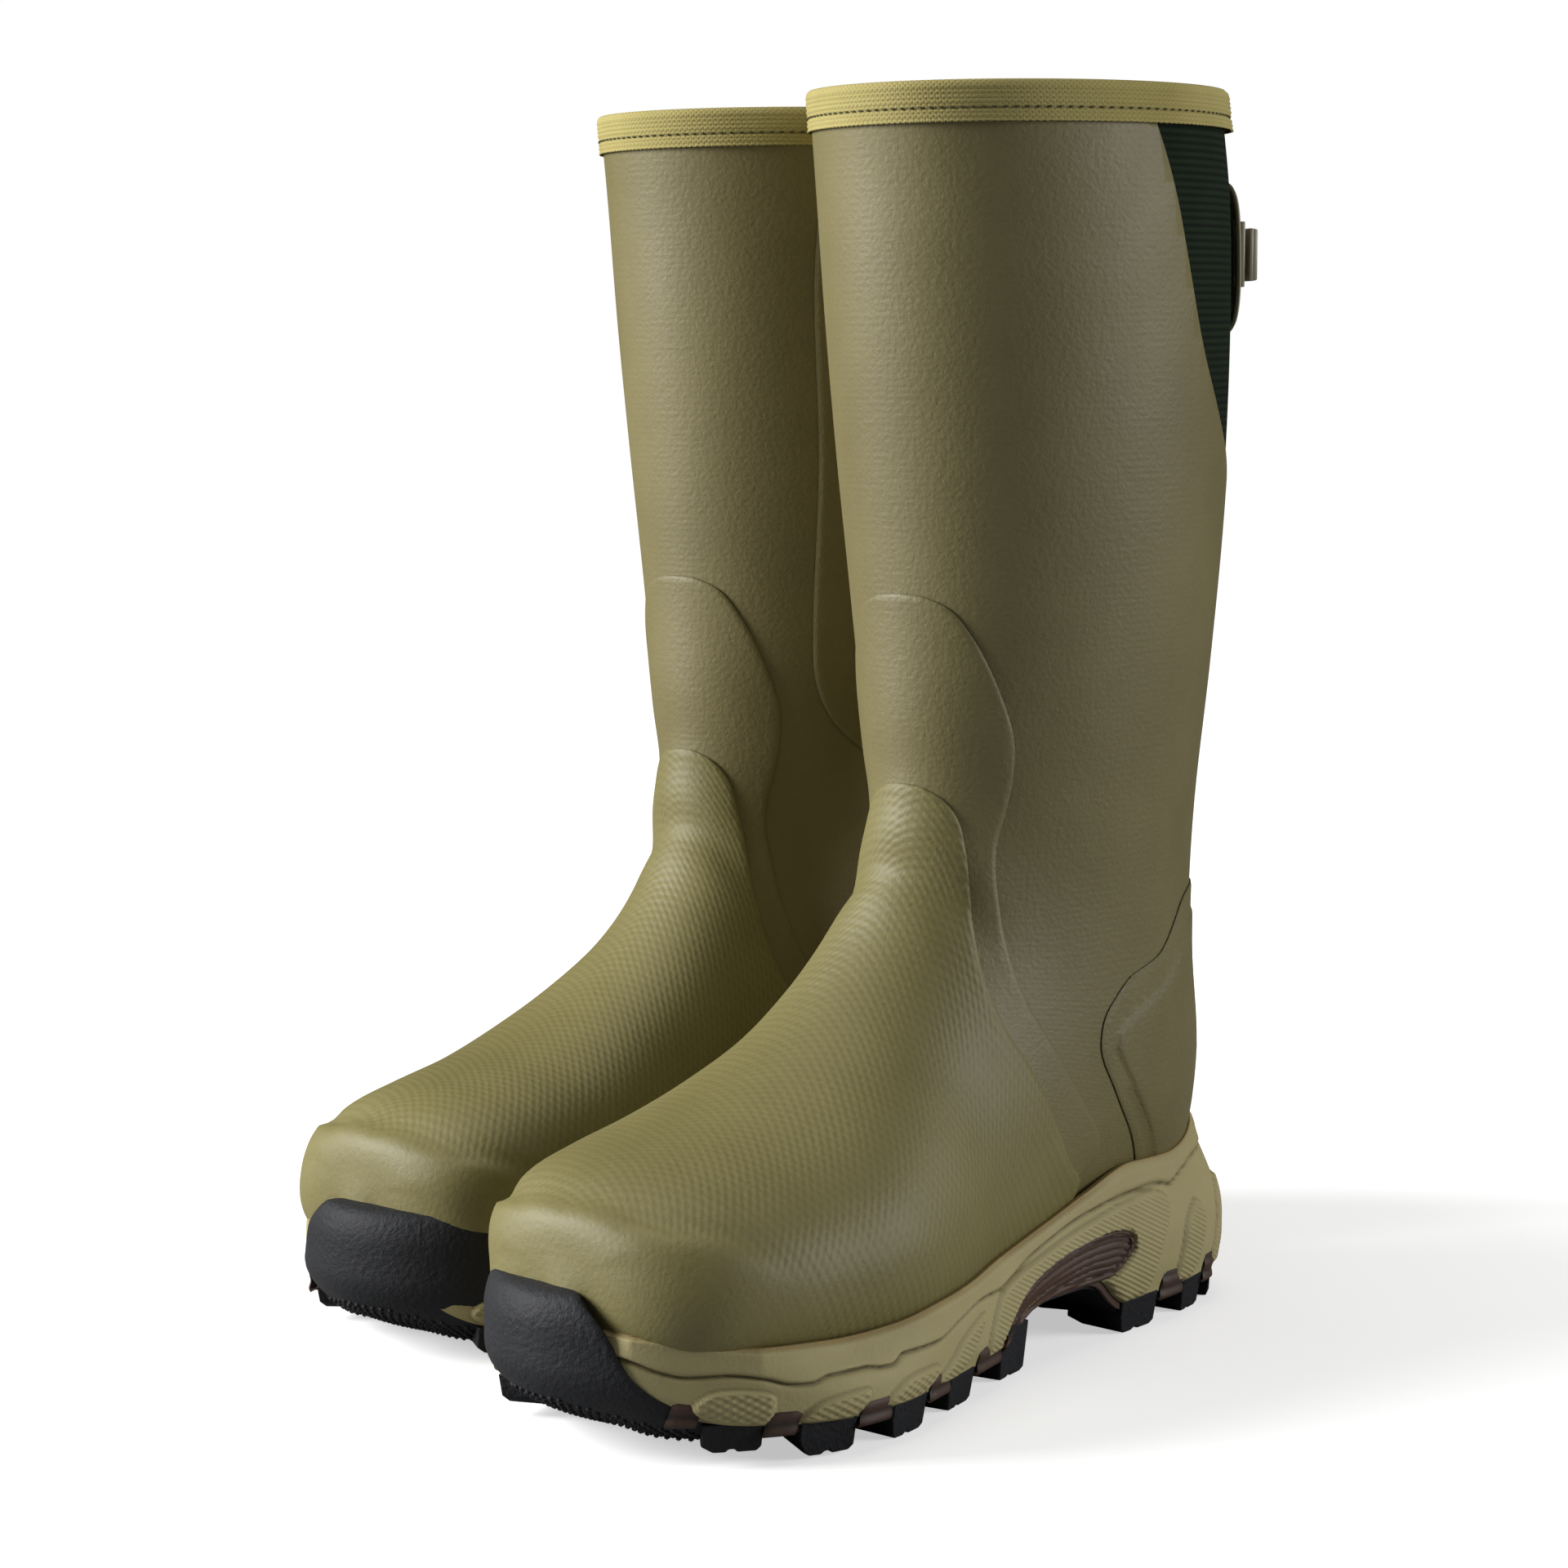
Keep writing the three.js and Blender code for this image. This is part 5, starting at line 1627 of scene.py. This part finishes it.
    def middle_lug(self, x: float, y: float, a: float, b: float) -> BMesh:
        """One arrow-shaped lug of the middle row.

        Args:
            x: Its centre across the sole.
            y: Its centre along the sole.
            a: Half its width.
            b: Half its length.

        Returns:
            The bevelled lug.
        """
        lift = float(np.interp(y, [-300, -270], [3.5, 0.6]))
        bm = bmesh.new()
        ring = [(-a, -b * 0.4), (0, -b), (a, -b * 0.4), (a, b), (0, b * 0.3), (-a, b)]
        face = bm.faces.new([bm.verts.new((x + u, y + v, lift)) for u, v in ring])
        out = bmesh.ops.extrude_face_region(bm, geom=[face])
        for v in (g for g in out["geom"] if isinstance(g, bmesh.types.BMVert)):
            v.co = Vector((x + (v.co.x - x) * 1.12, y + (v.co.y - y) * 1.12, 9.6))
        bmesh.ops.recalc_face_normals(bm, faces=bm.faces[:])
        bmesh.ops.bevel(bm, geom=bm.edges[:], offset=0.5, segments=1, **BEVEL)
        write_uv(bm, spots(bm)[:, :2])
        return bm


# ---- closure ------------------------------------------------------------------------------
@dataclass
class Closure:
    """Side tabs, strap and lever buckle that draw the gusset in."""

    form: BootForm
    angle: float = -68.0
    height: float = 376.0
    pin_along: float = 8.5
    pin_out: float = 9.5
    station: float = field(init=False)
    frame: Matrix = field(init=False)

    def __post_init__(self) -> None:
        """Finds the station at the buckle and the frame of axes there."""
        t = 17.5
        for _ in range(20):
            t += (self.height - float(self.form.surface(np.array([t]),
                                                        np.array([self.angle]))[0, 2])) / 52
        self.station = t
        here = self.form.surface(np.array([t]), np.array([self.angle]))[0]
        out = Vector(self.form.normal(np.array([t]), np.array([self.angle]))[0])
        out.z = 0
        out.normalize()
        along = UP.cross(out).normalized()
        turned = Matrix((along, UP, out)).transposed().to_4x4()
        self.frame = Matrix.Translation(Vector(here)) @ turned

    def build(self) -> None:
        """Builds and sets down the closure's pieces."""
        self.tab("side_tab", "outer_tab", self.angle, 27.5, 17.0, 1.2)
        self.tab("end_tab", "inner_tab", -156.0, 21.0, 12.0, 1.8)
        self.strap()
        self.buckle()
        self.lever()

    def tab(self, name: str, node: str, deg: float, half_high: float, half_wide: float,
            base: float) -> None:
        """Rounded oval rubber tab that stands a little off the shaft.

        Args:
            name: Name of the piece.
            node: CAD node that it stands for.
            deg: Angle of its middle.
            half_high: Half its height.
            half_wide: Half its width, in degrees.
            base: How far off the shaft its edge stands.
        """
        turn = np.radians(np.arange(0, 360, 12))
        co, si = np.cos(turn), np.sin(turn)
        wide = half_wide * np.sign(co) * np.abs(co) ** 0.7
        high = half_high * np.sign(si) * np.abs(si) ** 0.7
        outline = [(self.station + h / 50.0, deg + w) for w, h in zip(wide, high)]
        # The outer ring carries painted shade under the tab's edge, which stands off the shaft.
        rings = (EdgeRing(0, 0.6, 0.5), EdgeRing(0.5, 1.9), EdgeRing(0.9, 2.5), EdgeRing(1.6, 2.6),
                 EdgeRing(1.0, 2.15), EdgeRing(0.9, 2.15))
        patch = SurfacePatch(self.form, outline, rings, base=base, cell=(3.0, 3.0))
        set_down(patch.build(), PieceSpec(name, TAB_RUBBER, "tab_rubber", (node,), wall=1.9))

    def strap(self) -> None:
        """Webbing from the buckle round the calf to the end tab."""
        flat = [self.frame @ Vector((u, 0, 6.1)) for u in (-9, -3, 3, 8, 13.4)]
        turns = np.arange(-90, -157, -3.0)
        back = self.form.at(np.full(len(turns), self.station), turns, np.full(len(turns), 4.8))
        path = np.concatenate([[p[:2] for p in flat], back[:, :2]])
        walk = lengths_along(path)
        bm, along, up = grid(90, 10)
        x, y = (np.interp(along * walk[-1], walk, path[:, k]) for k in range(2))
        z = self.height + (up - 0.5) * 15
        write_uv(bm, np.stack([along * walk[-1], z], axis=1))
        move_to(bm, np.column_stack([x, y, z]))
        face_out(bm, lambda m: (np.array([0, -104.0, 0]) - m) * np.array([1, 1, 0]))
        thicken(bm, 1.3)
        set_down(bm, PieceSpec("calf_strap", STRAP_WEBBING, "strap_webbing", ("strap",)))

    def bar(self, low: Vector, high: Vector, taper: float = 1.0, round_by: float = 0.4) -> BMesh:
        """Bevelled block between two corners, narrowed at its outer end.

        Args:
            low: Lowest corner.
            high: Highest corner.
            taper: Width of the outer end against the inner one.
            round_by: Size of the bevel.

        Returns:
            The block.
        """
        bm = bmesh.new()
        size = high - low
        place = Matrix.Translation((low + high) / 2) @ Matrix.Diagonal((*size, 1))
        bmesh.ops.create_cube(bm, size=1.0, matrix=place)
        for v in bm.verts:
            if v.co.z > (low.z + high.z) / 2:
                v.co.y *= taper
        bmesh.ops.bevel(bm, geom=bm.edges[:], offset=round_by, segments=2, **BEVEL)
        return bm

    def finish(self, bm: BMesh, spec: PieceSpec) -> None:
        """Moves a part from the buckle's own axes to the boot and sets it down.

        Args:
            bm: The part.
            spec: What the piece is called, made of and stands for.
        """
        write_uv(bm, spots(bm)[:, :2])
        bm.transform(self.frame)
        set_down(bm, spec)

    def buckle(self) -> None:
        """Buckle body: slotted plate and two cheeks."""
        bm = bmesh.new()
        for low, high in (((-13, -11.5, 4.3), (-9.5, 11.5, 5.8)),
                          ((-6.5, -11.5, 4.3), (13, 11.5, 5.8)),
                          ((-10, -11.5, 4.3), (-6, -8.4, 5.8)),
                          ((-10, 8.4, 4.3), (-6, 11.5, 5.8))):
            append(bm, self.bar(Vector(low), Vector(high), round_by=0.3))
        for y in (10.6, -10.6):
            append(bm, self.bar(Vector((3.5, y - 0.9, 5.4)), Vector((12.4, y + 0.9, 11.4)), 0.985,
                                0.35))
        self.finish(bm, PieceSpec("buckle_body", BUCKLE_PLASTIC, "buckle_plastic",
                                  ("buckle_frame",), sharp=35))

    def lever(self) -> None:
        """Lever: barrel on its pin, blade and a lip for the finger."""
        bm = bmesh.new()
        pin = Matrix.Translation((self.pin_along, 0,
                                  self.pin_out)) @ Matrix.Rotation(math.pi / 2, 4, "X")
        for radius, length in ((1.0, 23.0), (1.6, 18.6)):
            bmesh.ops.create_cone(bm, cap_ends=True, segments=24, radius1=radius, radius2=radius,
                                  depth=length,
                                  matrix=pin)
        append(bm, self.bar(Vector((-10.5, -9.3, 9.0)), Vector((self.pin_along, 9.3, 10.6)), 1.0,
                            0.45))
        append(bm, self.bar(Vector((-10.5, -9.3, 10.2)), Vector((-9.0, 9.3, 12.2)), 0.96, 0.4))
        for k in range(4):
            x = -7.6 + k * 1.8
            append(bm, self.bar(Vector((x, -7.5, 10.3)), Vector((x + 0.8, 7.5, 10.95)), 1.0, 0.2))
        self.finish(bm, PieceSpec("lever", BUCKLE_PLASTIC, "buckle_plastic", ("buckle_lever",),
                                  body=Body.LEVER,
                                  sharp=35))


# ---- studio -------------------------------------------------------------------------------
@dataclass
class Studio:
    """Pale floor, soft lights and the camera."""

    camera_place: tuple[float, float, float] = (0.8512, -0.9192, 0.3280)
    turn: float = 42.75
    tilt: float = 6.28
    lens: float = 82.1
    ambient: float = 0.045
    glow: float = 0.52           # light that the paper gives the eye near the boots
    paper_seen: float = 0.8      # how light the paper looks
    paper_bounce: float = 0.32   # how much light it sends back to the boots
    floor_size: float = 12.0
    boot_middle: tuple[float, float, float] = (0, 0, 0.22)

    def build(self) -> None:
        """Builds the whole studio."""
        bpy.context.scene.view_settings.view_transform = "Standard"
        self.floor()
        self.sky()
        self.light("left_panel", (-1.38, -1.58, 1.0), self.boot_middle, 1.0, 80.0)
        self.light("right_panel", (1.68, 1.08, 0.8), self.boot_middle, 0.9, 24.0)
        self.light("top_panel", (-0.2, -0.1, 2.3), (0, 0, 0.0), 1.3, 10.0)
        self.camera()

    def floor(self) -> None:
        """A large plain floor."""
        bm = bmesh.new()
        bmesh.ops.create_grid(bm, x_segments=2, y_segments=2, size=self.floor_size)
        mesh = bpy.data.meshes.new("studio_floor")
        bm.to_mesh(mesh)
        bm.free()
        mesh.materials.append(self.paper())
        floor = bpy.data.objects.new("studio_floor", mesh)
        bpy.context.scene.collection.objects.link(floor)

    def paper(self) -> bpy.types.Material:
        """White paper, lit from behind for the eye so that only shadows show on it."""
        paper = bpy.data.materials.new("white_paper")
        paper.use_nodes = True
        tree = paper.node_tree
        tree.nodes.clear()
        place = add(tree, "TexCoord")
        flat = add(tree, "VectorMath", {0: place.outputs["Object"], 1: (1, 1, 0)},
                   operation="MULTIPLY")
        far = add(tree, "VectorMath", {0: flat.outputs["Vector"]}, operation="LENGTH")
        glow = add(tree, "MapRange", {"Value": far.outputs["Value"], "From Min": 0.3,
                                      "From Max": 0.75,
                                      "To Min": self.glow, "To Max": 1.0})
        seen = add(tree, "LightPath")
        strength = add(tree, "Math", {0: glow.outputs["Result"], 1: seen.outputs["Is Camera Ray"]},
                       operation="MULTIPLY")
        shine = add(tree, "Emission", {"Color": (1, 1, 1, 1), "Strength": strength.outputs[0]})
        bounce = add(tree, "Mix", {
            "Factor": seen.outputs["Is Camera Ray"], 6: (*[self.paper_bounce] * 3, 1),
            7: (*[self.paper_seen] * 3, 1)}, data_type="RGBA")
        matt = add(tree, "BsdfDiffuse", {"Color": bounce.outputs[2]})
        both = add(tree, "AddShader", {0: shine.outputs[0], 1: matt.outputs[0]})
        add(tree, "OutputMaterial", {"Surface": both.outputs[0]})
        return paper

    def sky(self) -> None:
        """White backdrop that lights the scene more softly than it looks."""
        world = bpy.data.worlds.new("studio")
        bpy.context.scene.world = world
        world.use_nodes = True
        tree = world.node_tree
        tree.nodes.clear()
        seen = add(tree, "LightPath")
        level = add(tree, "MapRange", {"Value": seen.outputs["Is Camera Ray"],
                                       "To Min": self.ambient,
                                       "To Max": 1.0})
        back = add(tree, "Background", {"Color": (1, 1, 1, 1),
                                        "Strength": level.outputs["Result"]})
        add(tree, "OutputWorld", {"Surface": back.outputs["Background"]})

    def light(self, name: str, place: tuple[float, float, float],
              target: tuple[float, float, float],
              size: float, power: float) -> None:
        """One square soft light.

        Args:
            name: Name of the light.
            place: Where it stands.
            target: What it is turned towards.
            size: Length of its side.
            power: Its power in watts.
        """
        data = bpy.data.lights.new(name, "AREA")
        data.size, data.energy = size, power
        lamp = bpy.data.objects.new(name, data)
        lamp.location = place
        lamp.rotation_euler = (Vector(target) - Vector(place)).to_track_quat("-Z", "Y").to_euler()
        bpy.context.scene.collection.objects.link(lamp)

    def camera(self) -> None:
        """The main view."""
        data = bpy.data.cameras.new("main_view")
        data.lens, data.sensor_width = self.lens, 36.0
        view = bpy.data.objects.new("main_view", data)
        yaw, pitch = math.radians(self.turn), math.radians(self.tilt)
        ahead = Vector((-math.sin(yaw) * math.cos(pitch), math.cos(yaw) * math.cos(pitch),
                        -math.sin(pitch)))
        view.location = self.camera_place
        view.rotation_euler = ahead.to_track_quat("-Z", "Y").to_euler()
        bpy.context.scene.collection.objects.link(view)
        bpy.context.scene.camera = view


def main() -> None:
    """Builds both boots and the studio, and writes how large the model came out."""
    logging.basicConfig(level=logging.INFO, format="%(name)s %(message)s")
    Studio().build()
    form = BootForm()
    Upper(form).build()
    RimBinding(form).build()
    Closure(form).build()
    Sole(form, SoleForm()).build()


if __name__ == "__main__":
    main()
